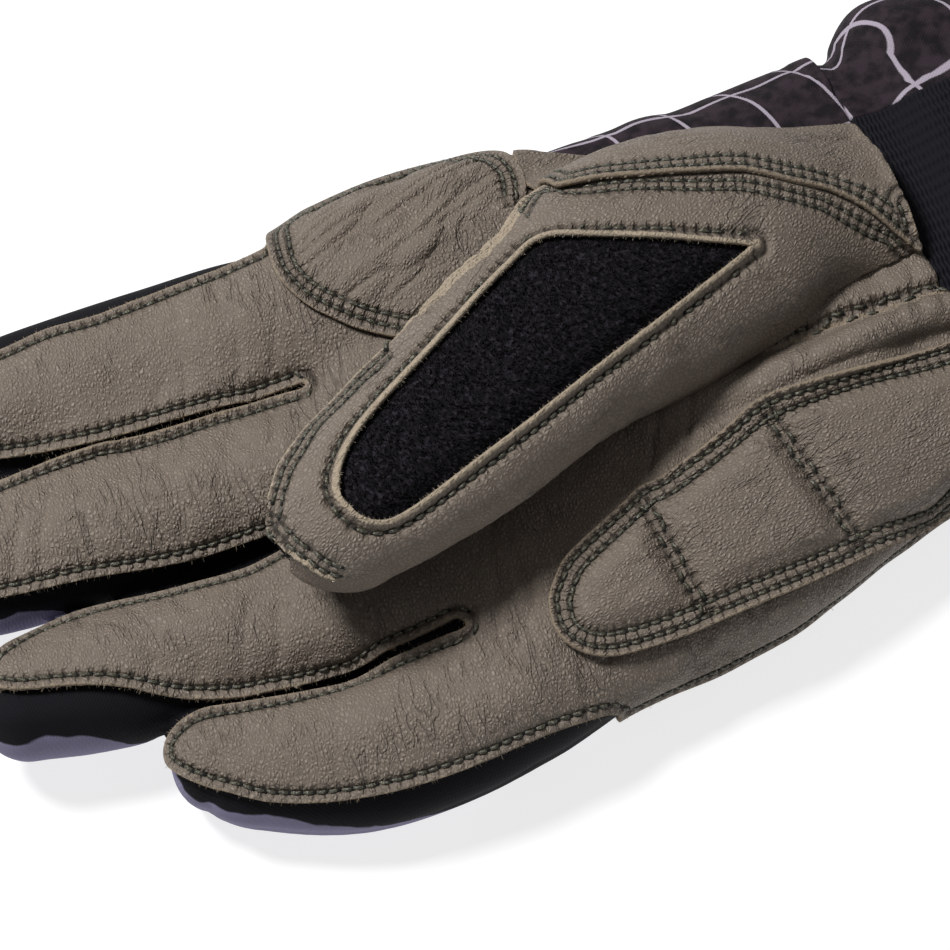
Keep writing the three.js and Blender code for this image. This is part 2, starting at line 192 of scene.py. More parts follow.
def smooth(value, start, stop):
    """0 before start and 1 after stop, with a soft change between them."""
    t = np.clip((value - start) / (stop - start), 0, 1)
    return t * t * (3 - 2 * t)


def through(values, count):
    """A smooth curve through a column of values, as count samples."""
    v = np.array(values, float)
    v = np.concatenate([[2 * v[0] - v[1]], v, [2 * v[-1] - v[-2]]])
    t = np.linspace(0, len(values) - 1, count)
    i = np.minimum(t.astype(int), len(values) - 2)
    f = t - i
    a, b, c, d = v[i], v[i + 1], v[i + 2], v[i + 3]
    return b + 0.5 * f * (c - a + f * (2 * a - 5 * b + 4 * c - d + f * (3 * (b - c) + d - a)))


def ridge(distance, width):
    """1 where the distance is 0, falling off to 0 over about two widths on both sides."""
    return np.exp(-((distance / width) ** 2))


def limb(sections, tip=0, root=0, square=2, straight=False):
    """A limb's centre line, frame and half sizes at stations, in order of x for looking up."""
    columns = {name: through([row[i] for row in sections], STATIONS) for i, name in enumerate(SECTION)}
    line = np.stack([columns["x"], columns["y"], columns["z"]], 1)
    forward = np.gradient(line, axis=0)
    if straight:
        forward[:, 1:] = 0
    forward /= np.linalg.norm(forward, axis=1, keepdims=True)
    across = np.cross((0, 0, 1), forward)
    across /= np.linalg.norm(across, axis=1, keepdims=True)
    sizes = np.stack([columns["wide"], columns["high"]], 1)
    table = np.concatenate([line, forward, across, np.cross(forward, across), sizes], 1)
    table = table[np.argsort(table[:, 0])]
    reach = sizes.max() + max(tip, root)
    return {
        "table": table, "tip": tip, "root": root, "square": square, "straight": straight,
        "low": line.min(0) - reach, "high": line.max(0) + reach,
    }


def distance_to_limb(form, points):
    """How far points are outside a limb's skin, or inside where negative."""
    table = form["table"]
    ends = table[0, 0], table[-1, 0]
    x = np.clip(points[:, 0], *ends)
    for _ in range(0 if form["straight"] else 3):
        near = np.stack([np.interp(x, table[:, 0], table[:, i]) for i in range(6)], 1)
        x = np.clip(x + ((points - near[:, :3]) * near[:, 3:]).sum(1) * near[:, 3], *ends)
    near = np.stack([np.interp(x, table[:, 0], table[:, i]) for i in range(table.shape[1])], 1)
    away = points - near[:, :3]
    across = np.abs((away * near[:, 6:9]).sum(1)) / near[:, 12] + 1e-6
    above = np.abs((away * near[:, 9:12]).sum(1)) / near[:, 13] + 1e-6
    on = (away * near[:, 3:6]).sum(1)
    n = form["square"]
    oval = (across**n + above**n) ** (1 / n)
    past_tip = np.maximum(on, 0) / form["tip"] if form["tip"] else 0 * on
    past_root = np.maximum(-on, 0) / form["root"] if form["root"] else 0 * on
    past = past_tip + past_root
    gauge = np.sqrt(oval**2 + past**2) + 1e-9
    slope_across = (across / oval) ** (n - 1) / near[:, 12] * oval / gauge
    slope_above = (above / oval) ** (n - 1) / near[:, 13] * oval / gauge
    slope_on = past / gauge / np.where(past_tip > 0, form["tip"] or 1, form["root"] or 1)
    return (gauge - 1) / np.sqrt(slope_across**2 + slope_above**2 + slope_on**2)


def soft_min(a, b, blend):
    """The smaller of two distances, with the crease between them filled over a width of blend."""
    near = np.maximum(blend - np.abs(a - b), 0) / blend
    return np.minimum(a, b) - near * near * blend / 4


def palm_sink(points):
    """How far the hollows let the palm down."""
    sunk = np.zeros(len(points))
    for hollow in PALM_HOLLOWS:
        start, stop = np.array(hollow["start"], float), np.array(hollow["stop"], float)
        run = stop - start
        t = np.clip(((points[:, :2] - start) @ run) / (run @ run), 0, 1)
        away = np.linalg.norm(points[:, :2] - start - t[:, None] * run, axis=1) / hollow["spread"]
        sunk += hollow["sink"] * np.exp(-away * away)
    return sunk * smooth(points[:, 2], *HOLLOW_HEIGHTS)


def from_finger_roots(points):
    """How far points are on the palm's side of the line of the finger roots."""
    return points[:, 0] - np.interp(points[:, 1], FINGER_ROOTS["y"], FINGER_ROOTS["x"])


palm_form = limb(**PALM)
roll_form = limb(**WRIST_ROLL)
web_form = limb(**WEB)
thumb_form = limb(**THUMB)
finger_forms = [limb(**finger) for finger in (INDEX, MIDDLE_FINGER, RING_FINGER, LITTLE_FINGER)]


def hand_distance(points, apart=FINGERS_APART):
    """Distance to the skin of the hand without its thumb. Creases between fingers are filled over apart."""
    raised = points + palm_sink(points)[:, None] * np.array((0, 0, 1.0))
    distance = distance_to_limb(palm_form, raised)
    blend = apart + (FINGERS_JOINED - apart) * smooth(from_finger_roots(points), *ROOT_SPAN)
    for form in [web_form, *finger_forms]:
        near = np.all((points > form["low"]) & (points < form["high"]), axis=1)
        if near.any():
            to_limb = distance_to_limb(form, raised[near])
            distance[near] = soft_min(distance[near], to_limb, blend[near])
    near = np.all((points > roll_form["low"]) & (points < roll_form["high"] + ROLL_RUNS_ON), axis=1)
    if near.any():
        to_roll = distance_to_limb(roll_form, points[near])
        distance[near] = soft_min(distance[near], to_roll, ROLL_BLEND)
    x, y = points[:, 0], points[:, 1]
    distance -= HEEL_SWELL * smooth(-y, 34, 46) * smooth(x, 8, 40) * (1 - smooth(x, 80, 94))
    distance -= THUMB_SIDE_SWELL * smooth(y, 50, 58) * smooth(x, -18, -8) * (1 - smooth(x, 56, 70))
    distance -= CREASE_FILL["high"] * ridge(y - CREASE_FILL["y"], CREASE_FILL["spread"]) * smooth(-x, 18, 40)
    return -soft_min(-distance, points[:, 2], FLOOR_BLEND)


def thumb_distance(points):
    return distance_to_limb(thumb_form, points)


def slope_of(distance, points, reach=0.05):
    """The distance and its slope, from the four corners of a small tetrahedron."""
    corners = np.array([(1, -1, -1), (-1, -1, 1), (-1, 1, -1), (1, 1, 1)], float)
    values = [distance(points + corner * reach) for corner in corners]
    slope = sum(value[:, None] * corner for value, corner in zip(values, corners)) / (4 * reach)
    return sum(values) / 4, slope


def onto(distance, points, height=0.0, rounds=3):
    """Points moved to where the distance is height."""
    for _ in range(rounds):
        value, slope = slope_of(distance, points)
        steep = np.maximum((slope * slope).sum(1), 0.25)
        points = points - ((value - height) / steep)[:, None] * slope
    return points


def skin(distance, low, high, step, block=6):
    """Points and triangles of the surface where distance is 0, on a grid of step millimetres."""
    low = np.array(low, float)
    counts = np.ceil((np.array(high) - low) / (block * step)).astype(int)
    centres = low + (np.stack(np.indices(counts), -1).reshape(-1, 3) + 0.5) * block * step
    rough = distance(centres).reshape(counts)
    near = np.abs(rough) < block * step * 1.3
    spread = np.ones((block,) * 3)
    values = np.pad(np.kron(rough, spread), ((0, 1),) * 3, mode="edge")
    wanted = np.pad(np.kron(near, spread) > 0, ((0, 1),) * 3, mode="edge")
    for axis in range(3):
        ahead = np.moveaxis(wanted, axis, 0)
        ahead[1:] |= ahead[:-1].copy()
    at = np.argwhere(wanted)
    values[wanted] = np.concatenate([distance(low + part * step) for part in np.array_split(at, 12)])
    inside = values < 0
    cells = tuple(n - 1 for n in values.shape)
    window = lambda a, d: a[tuple(slice(o, o + n) for o, n in zip(d, cells))]
    corners = [tuple(int(c) for c in d) for d in np.ndindex(2, 2, 2)]
    filled = sum(window(inside, d).astype(np.int8) for d in corners)
    active = (filled > 0) & (filled < 8)
    number = np.full(cells, -1)
    number[active] = np.arange(active.sum())
    where = np.argwhere(active)
    total = np.zeros((len(where), 3))
    hits = np.zeros(len(where))
    for d in corners:
        for axis in range(3):
            if d[axis]:
                continue
            e = tuple(1 if i == axis else c for i, c in enumerate(d))
            a, b = window(values, d)[active], window(values, e)[active]
            cross = (a < 0) != (b < 0)
            t = np.where(cross, a / np.where(cross, a - b, 1), 0)
            place = where + np.array(d) + t[:, None] * np.eye(3)[axis]
            total += place * cross[:, None]
            hits += cross
    points = low + total / hits[:, None] * step
    quads = []
    for axis in range(3):
        v, i, n = (np.moveaxis(array, (axis, (axis + 1) % 3, (axis + 2) % 3), (0, 1, 2))
                   for array in (values, inside, number))
        cross = i[:-1, 1:-1, 1:-1] != i[1:, 1:-1, 1:-1]
        first = i[:-1, 1:-1, 1:-1][cross]
        rounds = [n[:, :-1, :-1][cross], n[:, 1:, :-1][cross], n[:, 1:, 1:][cross], n[:, :-1, 1:][cross]]
        quad = np.stack(rounds, 1)
        quads.append(np.where(first[:, None], quad, quad[:, ::-1]))
    quads = np.concatenate(quads)
    points = onto(distance, points)
    p = points[quads]
    short = np.linalg.norm(p[:, 0] - p[:, 2], axis=1) < np.linalg.norm(p[:, 1] - p[:, 3], axis=1)
    triangles = np.concatenate([
        quads[short][:, [0, 1, 2]], quads[short][:, [0, 2, 3]],
        quads[~short][:, [0, 1, 3]], quads[~short][:, [1, 2, 3]],
    ])
    return points, triangles


def used_only(points, triangles):
    """The same triangles without the points that none of them uses."""
    used, index = np.unique(triangles, return_inverse=True)
    return points[used], index.reshape(-1, 3)


def largest_patch(points, triangles):
    """The largest connected patch of a surface."""
    label = np.arange(len(points))
    edges = np.concatenate([triangles[:, [0, 1]], triangles[:, [1, 2]]])
    while True:
        low = np.minimum(label[edges[:, 0]], label[edges[:, 1]])
        before = label.copy()
        np.minimum.at(label, edges[:, 0], low)
        np.minimum.at(label, edges[:, 1], low)
        label = label[label]
        if np.array_equal(before, label):
            break
    names, sizes = np.unique(label[triangles[:, 0]], return_counts=True)
    return used_only(points, triangles[label[triangles[:, 0]] == names[sizes.argmax()]])


def clipped(points, triangles, value, snap=0.06):
    """The part of a surface where value is below 0, cut along the line where it is 0."""
    value = np.where(np.abs(value) < snap, 0, value)
    kept = value <= 0
    count = kept[triangles].sum(1)
    whole = triangles[count == 3]
    one, two = triangles[count == 1], triangles[count == 2]
    one = np.take_along_axis(one, (kept[one].argmax(1)[:, None] + (0, 1, 2)) % 3, 1)
    two = np.take_along_axis(two, ((~kept[two]).argmax(1)[:, None] + (0, 1, 2)) % 3, 1)
    cuts = np.concatenate([one[:, [0, 1]], one[:, [0, 2]], two[:, [1, 0]], two[:, [2, 0]]])
    pairs, index = np.unique(cuts, axis=0, return_inverse=True)
    index = index.reshape(-1)
    a, b = value[pairs[:, 0]], value[pairs[:, 1]]
    t = a / (a - b)
    fresh = points[pairs[:, 0]] * (1 - t)[:, None] + points[pairs[:, 1]] * t[:, None]
    name = np.where(a == 0, pairs[:, 0], len(points) + np.arange(len(pairs)))[index]
    parts = np.split(name, np.cumsum([len(one), len(one), len(two)]))
    made = [
        whole,
        np.stack([one[:, 0], parts[0], parts[1]], 1),
        np.stack([parts[2], two[:, 1], two[:, 2]], 1),
        np.stack([parts[2], two[:, 2], parts[3]], 1),
    ]
    made = np.concatenate(made)
    sound = (made[:, 0] != made[:, 1]) & (made[:, 1] != made[:, 2]) & (made[:, 0] != made[:, 2])
    return largest_patch(np.concatenate([points, fresh]), made[sound])


def beside(outline, points):
    """Signed distance on the floor plan to a closed outline, negative inside it."""
    corners = np.array(outline, float)
    flat = points[:, :2]
    best = np.full(len(flat), 1e9)
    inside = np.zeros(len(flat), bool)
    for a, b in zip(corners, np.roll(corners, -1, 0)):
        run = b - a
        t = np.clip(((flat - a) @ run) / (run @ run), 0, 1)
        best = np.minimum(best, np.linalg.norm(flat - a - t[:, None] * run, axis=1))
        crosses = (a[1] > flat[:, 1]) != (b[1] > flat[:, 1])
        with np.errstate(divide="ignore", invalid="ignore"):
            at = a[0] + (flat[:, 1] - a[1]) / (b[1] - a[1]) * run[0]
        inside ^= crosses & (flat[:, 0] < at)
    return np.where(inside, -best, best)


# Edges of the palm leather on each finger on the floor plan: x, its thumb side and its little-finger side.
LEATHER_STRIPS = [
    {"end": (-94.5, 46), "rows": [(0, 61.5, 33), (-22, 56.4, 29.8), (-45, 55.2, 31.2), (-66, 55.2, 32.8),
                                  (-84, 53, 37)]},
    {"end": (-107.5, 19), "rows": [(0, 24, 6.5), (-25, 28.6, 4.6), (-50, 30.3, 5), (-72, 31.8, 7.8),
                                   (-95, 28.4, 11.2)]},
    {"end": (-96, -4), "rows": [(0, 1.6, -23), (-16, 1.4, -25), (-29, 1.2, -24.9), (-44, -1.0, -24.3),
                                (-57, 0.2, -22.6), (-66, 2.2, -19.2), (-74, 3.8, -14.8), (-83, 3.4, -11.4),
                                (-92, 0.6, -8.6)]},
    {"end": (-70.6, -28.8), "rows": [(4, -30, -49.3), (-14, -27.7, -50.4), (-29, -26.8, -50.4),
                                     (-44, -26.4, -48), (-56, -24.2, -43.4), (-63, -23.2, -38.6),
                                     (-68.4, -24.6, -33.8)]},
]
PALM_OUTLINE = [
    (95.5, -66), (34, -66), (24, -54), (14, -50), (2, -49.4), (-10, -49.8), (-12.5, -26.3), (-30, 2.5),
    (-22, 26.4), (-19, 57.6), (-8, 62), (8, 63), (28, 59), (40, 53.5), (60, 46.5), (80, 42), (95.5, 38),
]
# The palm leather ends at this height down the side of the hand.
LEATHER_SIDE = 11.5
SLIT_ROUNDING = 0.8
STRIP_STEPS = 48


def strip_outline(rows, end):
    """One finger's leather strip on the floor plan: down its thumb side, round its tip and back."""
    thumb_side = [(x, y) for x, y, _ in rows]
    little_side = [(x, y) for x, _, y in rows]
    corners = [*thumb_side, end, *little_side[::-1]]
    return np.stack([through([c[i] for c in corners], STRIP_STEPS) for i in (0, 1)], 1)


def leather_edge(points):
    """Distance to the edge of the palm leather, negative on the leather."""
    value = beside(PALM_OUTLINE, points)
    for strip in LEATHER_STRIPS:
        value = soft_min(value, beside(strip_outline(**strip), points), SLIT_ROUNDING)
    return np.maximum(value, LEATHER_SIDE - points[:, 2])


def normals_of(points, triangles):
    """The way out of the surface at each point."""
    a, b, c = (points[triangles[:, corner]] for corner in range(3))
    face = np.cross(b - a, c - a)
    total = np.zeros_like(points)
    for corner in range(3):
        np.add.at(total, triangles[:, corner], face)
    return total / np.maximum(np.linalg.norm(total, axis=1, keepdims=True), 1e-12)


def chains(segments):
    """Short segments joined end to end into lines of point numbers."""
    following = {}
    for a, b in segments:
        following.setdefault(a, []).append(b)
    starts = set(a for a, _ in segments) - set(b for _, b in segments)
    lines = []
    for start in [*sorted(starts), *following]:
        while following.get(start):
            line = [start]
            while following.get(line[-1]):
                line.append(following[line[-1]].pop())
            lines.append(line)
    return lines


def border_lines(triangles):
    """The closed lines of points along a surface's border."""
    edges = np.concatenate([triangles[:, [0, 1]], triangles[:, [1, 2]], triangles[:, [2, 0]]])
    ordered = np.sort(edges, axis=1)
    _, index, counts = np.unique(ordered, axis=0, return_inverse=True, return_counts=True)
    return chains([tuple(edge) for edge in edges[counts[index.reshape(-1)] == 1].tolist()])


def smoothed_border(distance, points, triangles, rounds=4):
    """The border's small steps evened out, on the skin of the same form."""
    points = points.copy()
    for line in border_lines(triangles):
        ring = np.array(line[:-1] if line[0] == line[-1] else line)
        if len(ring) < 8:
            continue
        for _ in range(rounds):
            p = points[ring]
            points[ring] = 0.5 * p + 0.25 * (np.roll(p, 1, 0) + np.roll(p, -1, 0))
        points[ring] = onto(distance, points[ring], rounds=2)
    return points


def edge_distances(points, triangles, keep=lambda p: np.ones(len(p), bool)):
    """Each point's distance to the border, and how far along the border the nearest place is."""
    tree_points, lengths = [], []
    for line in border_lines(triangles):
        p = points[line]
        run = np.concatenate([[0], np.cumsum(np.linalg.norm(np.diff(p, axis=0), axis=1))])
        chosen = keep(p)
        tree_points += list(p[chosen])
        lengths += list(run[chosen])
    tree = KDTree(len(tree_points))
    for i, p in enumerate(tree_points):
        tree.insert(p, i)
    tree.balance()
    found = [tree.find(p) for p in points]
    return np.array([f[2] for f in found]), np.array([lengths[f[1]] for f in found])


RIM_BULGE = 0.12


def sheet_object(name, points, triangles, thickness, materials, marks=None):
    """A closed sheet from its outer surface: a wall inwards, and a rounded rim in the last material."""
    normals = normals_of(points, triangles)
    below = points - normals * np.broadcast_to(thickness, len(points))[:, None]
    rims, middles, count = [], [], len(points)
    for line in border_lines(triangles):
        a = np.array(line[:-1])
        middle = 2 * count + sum(map(len, middles)) + np.arange(len(a))
        outwards = np.cross(np.roll(points[a], -1, 0) - np.roll(points[a], 1, 0), normals[a])
        outwards /= np.maximum(np.linalg.norm(outwards, axis=1, keepdims=True), 1e-9)
        middles.append((points[a] + below[a]) / 2 + outwards * RIM_BULGE)
        b, next_middle = np.roll(a, -1), np.roll(middle, -1)
        for upper, next_upper, lower, next_lower in (
            (a, b, middle, next_middle), (middle, next_middle, a + count, b + count)
        ):
            rims += [np.stack([next_upper, upper, lower], 1), np.stack([next_upper, lower, next_lower], 1)]
    faces = np.concatenate([triangles, triangles[:, ::-1] + count, *rims])
    placed = (np.concatenate([points, below, *middles]) - MIDDLE) * MM
    mesh = bpy.data.meshes.new(name)
    mesh.vertices.add(len(placed))
    mesh.vertices.foreach_set("co", placed.astype(np.float32).ravel())
    mesh.loops.add(3 * len(faces))
    mesh.loops.foreach_set("vertex_index", faces.astype(np.int32).ravel())
    mesh.polygons.add(len(faces))
    mesh.polygons.foreach_set("loop_start", np.arange(0, 3 * len(faces), 3, dtype=np.int32))
    finish = np.zeros(len(faces), np.int32)
    finish[2 * len(triangles):] = len(materials) - 1
    mesh.update(calc_edges=True)
    mesh.polygons.foreach_set("material_index", finish)
    for key, values in (marks or {}).items():
        rest = [values[line[:-1]] for line in border_lines(triangles)]
        column = np.concatenate([values, values, *rest]).astype(np.float32)
        mesh.attributes.new(key, "FLOAT", "POINT").data.foreach_set("value", column)
    for material in materials:
        mesh.materials.append(material)
    mesh.shade_smooth()
    made = bpy.data.objects.new(name, mesh)
    bpy.context.scene.collection.objects.link(made)
    return made


def panel(name, node, points, triangles, thickness, materials, marks=None):
    """A sheet that rides on the root and stands for one node of the pattern."""
    made = sheet_object(name, points, triangles, thickness, materials, marks)
    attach(made, "root")
    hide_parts(node)
    return made


# The hand's box, and the fabric's grid, end, wall and how far it lies in under the leather and its edge.
HAND_LOW, HAND_HIGH = (-112, -62, -1.2), (99, 70, 36)
FABRIC_STEP = 1.25
WRIST_END = 94.2
FABRIC_TUCK = 3.0
FABRIC_UNDER = 1.45
FABRIC_WALL = 1.0


def noise(points, seed):
    """Smooth random values from -1 to 1, one lump to each unit of length."""
    cell = np.floor(points).astype(np.int64)
    part = points - cell
    part = part * part * (3 - 2 * part)
    total = np.zeros(len(points))
    for corner in np.ndindex(2, 2, 2):
        i, j, k = (cell + corner).T
        mixed = (i * 374761393 + j * 668265263 + k * 1442695041 + seed * 1274126177) & 0xFFFFFFFF
        mixed = ((mixed ^ (mixed >> 13)) * 1274126177) & 0xFFFFFFFF
        value = ((mixed ^ (mixed >> 16)) & 0xFFFF) / 32767.5 - 1
        total += value * np.prod(np.where(corner, part, 1 - part), axis=1)
    return total


def turned(points, degrees):
    """Points turned about the upright axis."""
    c, s = math.cos(math.radians(degrees)), math.sin(math.radians(degrees))
    x, y, z = points.T
    return np.stack([c * x + s * y, c * y - s * x, z], 1)


def creases(points, width, length, turn, seed):
    """Values near 1 along thin wandering creases, which lie across the turned x axis."""
    p = turned(points, turn) / (width, length, length)
    p = p + 0.5 * np.stack([noise(points / length, seed + n) for n in (1, 2, 3)], 1)
    return (1 - np.abs(noise(p, seed))) ** 4


def add_node(tree, kind, inputs=None, **settings):
    """A node with its settings, and its inputs linked or set."""
    made = tree.nodes.new(kind)
    for key, value in settings.items():
        setattr(made, key, value)
    for key, value in (inputs or {}).items():
        if isinstance(value, bpy.types.NodeSocket):
            tree.links.new(value, made.inputs[key])
        else:
            made.inputs[key].default_value = value
    return made


def math_node(tree, operation, a, b=0.0):
    return add_node(tree, "ShaderNodeMath", {0: a, 1: b}, operation=operation).outputs[0]


def times(tree, a, b):
    return math_node(tree, "MULTIPLY", a, b)


def minus(tree, a, b):
    return math_node(tree, "SUBTRACT", a, b)


def larger(tree, a, b):
    return math_node(tree, "MAXIMUM", a, b)


def ramp(tree, value, start, stop, low=0.0, high=1.0):
    """value from start to stop, made low to high with soft ends."""
    inputs = {"Value": value, "From Min": start, "From Max": stop, "To Min": low, "To Max": high}
    return add_node(tree, "ShaderNodeMapRange", inputs, interpolation_type="SMOOTHSTEP").outputs["Result"]


def mixed_color(tree, factor, a, b):
    inputs = {"Factor": factor, 6: a, 7: b}
    return add_node(tree, "ShaderNodeMix", inputs, data_type="RGBA").outputs[2]


def mark(tree, name):
    return add_node(tree, "ShaderNodeAttribute", attribute_name=name).outputs["Fac"]


def place_in_mm(tree, turn=0.0, stretch=(1, 1, 1)):
    """The surface's own place in millimetres, turned about the upright axis and stretched."""
    place = add_node(tree, "ShaderNodeTexCoord").outputs["Object"]
    turned_place = add_node(
        tree, "ShaderNodeMapping", {"Vector": place, "Rotation": (0, 0, math.radians(turn))}
    ).outputs["Vector"]
    scale = tuple(1000 / s for s in stretch)
    return add_node(tree, "ShaderNodeMapping", {"Vector": turned_place, "Scale": scale}).outputs["Vector"]


def texture(tree, kind, place, scale, **more):
    """The outputs of a procedural texture with its scale, and other inputs by their names."""
    return add_node(tree, f"ShaderNodeTex{kind}", {"Vector": place, "Scale": scale, **more}).outputs


def spots(tree, scale, detail):
    """Plain noise from 0 to 1 on the surface's own place."""
    return texture(tree, "Noise", place_in_mm(tree), scale, Detail=detail)["Fac"]


def new_material(name, roughness, shine=0.5):
    made = bpy.data.materials.new(name)
    made.use_nodes = True
    shader = made.node_tree.nodes["Principled BSDF"]
    shader.inputs["Roughness"].default_value = roughness
    shader.inputs["Specular IOR Level"].default_value = shine
    return made, made.node_tree, shader


def add_bump(tree, shader, height, depth_mm):
    bump = add_node(tree, "ShaderNodeBump", {"Height": height, "Distance": depth_mm * MM, "Strength": 1.0})
    tree.links.new(bump.outputs["Normal"], shader.inputs["Normal"])


# The print: dark aubergine with thin pale lines that cross, a pitch apart. Its own places on the cloth come
# from two marks in millimetres: one along the hand and one round it.
PRINT_DARK = (0.030, 0.021, 0.027, 1)
PRINT_DEEP = (0.010, 0.008, 0.010, 1)
PRINT_LINE = (0.42, 0.37, 0.44, 1)
BLACK = (0.0050, 0.0050, 0.0072, 1)
LAVENDER = (0.20, 0.185, 0.28, 1)
PRINT_PITCH = 13.5
PRINT_WIDTH = 0.38
FABRIC_SHINE = 0.15


def fabric_material(name):
    """The stretch fabric: print on the hand and the wrist, black and lavender on the fingers."""
    material, tree, shader = new_material(name, 0.82, FABRIC_SHINE)
    beats = [
        math_node(tree, "PINGPONG", mark(tree, direction), PRINT_PITCH / 2)
        for direction in ("print_along", "print_round")
    ]
    line = ramp(tree, math_node(tree, "MINIMUM", *beats), PRINT_WIDTH * 0.7, PRINT_WIDTH * 1.3, 1, 0)
    ground = mixed_color(tree, ramp(tree, spots(tree, 0.35, 6), 0.35, 0.65), PRINT_DEEP, PRINT_DARK)
    printed = mixed_color(tree, times(tree, line, 0.85), ground, PRINT_LINE)
    spread = times(tree, minus(tree, spots(tree, 0.12, 2), 0.5), 5.0)
    backs = ramp(tree, math_node(tree, "ADD", mark(tree, "finger_back"), spread), -0.3, 0.3)
    finger = mixed_color(tree, backs, BLACK, LAVENDER)
    color = mixed_color(tree, ramp(tree, mark(tree, "finger"), 0.4, 0.6), printed, finger)
    tree.links.new(color, shader.inputs["Base Color"])
    threads = [
        texture(tree, "Wave", place_in_mm(tree, turn), 0.62, Distortion=0.4)["Fac"] for turn in (45, -45)
    ]
    add_bump(tree, shader, times(tree, *threads), 0.06)
    return material


# The print goes round the hand about this line, on an oval that is wider than high by PRINT_FLATTEN.
PRINT_MIDDLE = {"x": (-24, 30, 94, 150), "y": (4, 6.5, 14.5, 16), "z": 13}
PRINT_FLATTEN = 2.2
PRINT_RADIUS = 30
# The height up to which a finger's back is lavender, along the little finger and along the other fingers.
LITTLE_BACK = {"x": (-75, -60, -40, -22), "z": (17, 15, 13, 3)}
FINGER_BACK = {"x": (-92, -80, -62), "z": (20, 18, 4)}
LITTLE_BELOW = -26


def fabric_marks(points):
    """The print's places and the zones of the glove's stretch fabric."""
    x, y, z = points.T
    centre_y = np.interp(x, PRINT_MIDDLE["x"], PRINT_MIDDLE["y"])
    angle = np.arctan2((z - PRINT_MIDDLE["z"]) * PRINT_FLATTEN, y - centre_y)
    little, others = (np.interp(x, back["x"], back["z"]) for back in (LITTLE_BACK, FINGER_BACK))
    back_height = np.where(y < LITTLE_BELOW, little, others)
    return {
        "print_along": x - 0.9 * z + 1.0 * noise(points / 16, 11) - 2.5,
        "print_round": PRINT_RADIUS * angle + 1.2 * noise(points / 16, 12) + 1.5,
        "finger": smooth(-from_finger_roots(points), -22, -16),
        "finger_back": back_height - z + 1.0 * np.sin(x / 5),
    }


printed_fabric = fabric_material("printed_fabric")
cloth_points, cloth_triangles = skin(hand_distance, HAND_LOW, HAND_HIGH, FABRIC_STEP)
fabric_edge = np.maximum(-leather_edge(cloth_points) - FABRIC_TUCK, cloth_points[:, 0] - WRIST_END)
cloth_points, cloth_triangles = clipped(cloth_points, cloth_triangles, fabric_edge)
cloth_normals = normals_of(cloth_points, cloth_triangles)
tucked = FABRIC_UNDER * (1 - smooth(leather_edge(cloth_points), 0.5, 6)) + 0.1
folds = 0.7 * creases(cloth_points, 7, 16, 30, 21) * smooth(cloth_points[:, 0], 20, 60)
folds -= 1.6 * smooth(cloth_points[:, 1], 46, 54) * smooth(cloth_points[:, 0], 30, 48)
marks = fabric_marks(cloth_points)
cloth_points = cloth_points - cloth_normals * (tucked + folds)[:, None]
back_fabric = panel(
    "hand_back_fabric", "back_fabric", cloth_points, cloth_triangles, FABRIC_WALL,
    [printed_fabric], marks,
)


# Palm leather
# One panel of soft grained goat leather covers the palm and the front of the four fingers. It is sewn to the
# fabric by a single row of stitches just inside its raw edge, round each finger and into the slits between.

LEATHER = 1.1
CREASE_SPAN = 4.2
PALM_STEP = 0.78
STITCH_PITCH = 2.3
PALM_ROW = 1.75
EDGE_LIFT = 0.45
ROW_SINK = 0.4
HIDE = (0.196, 0.158, 0.125, 1)
HIDE_LIGHT = (0.240, 0.196, 0.158, 1)
# Painted shade colour for the gaps between pebbles, the creases, the stitch grooves and the needle holes.
HIDE_PAINTED_SHADE = (0.040, 0.030, 0.022, 1)
RAW = (0.31, 0.245, 0.178, 1)
RAW_PALE = (0.44, 0.36, 0.265, 1)
THREAD = (0.048, 0.046, 0.032, 1)
# Painted highlight colour for the bright flecks on the thread.
THREAD_LIT = (0.24, 0.225, 0.168, 1)
# Painted shade: near-black colour of the small balls that stand for the shade in the needle holes.
HOLE_PAINTED_SHADE = (0.004, 0.004, 0.003, 1)


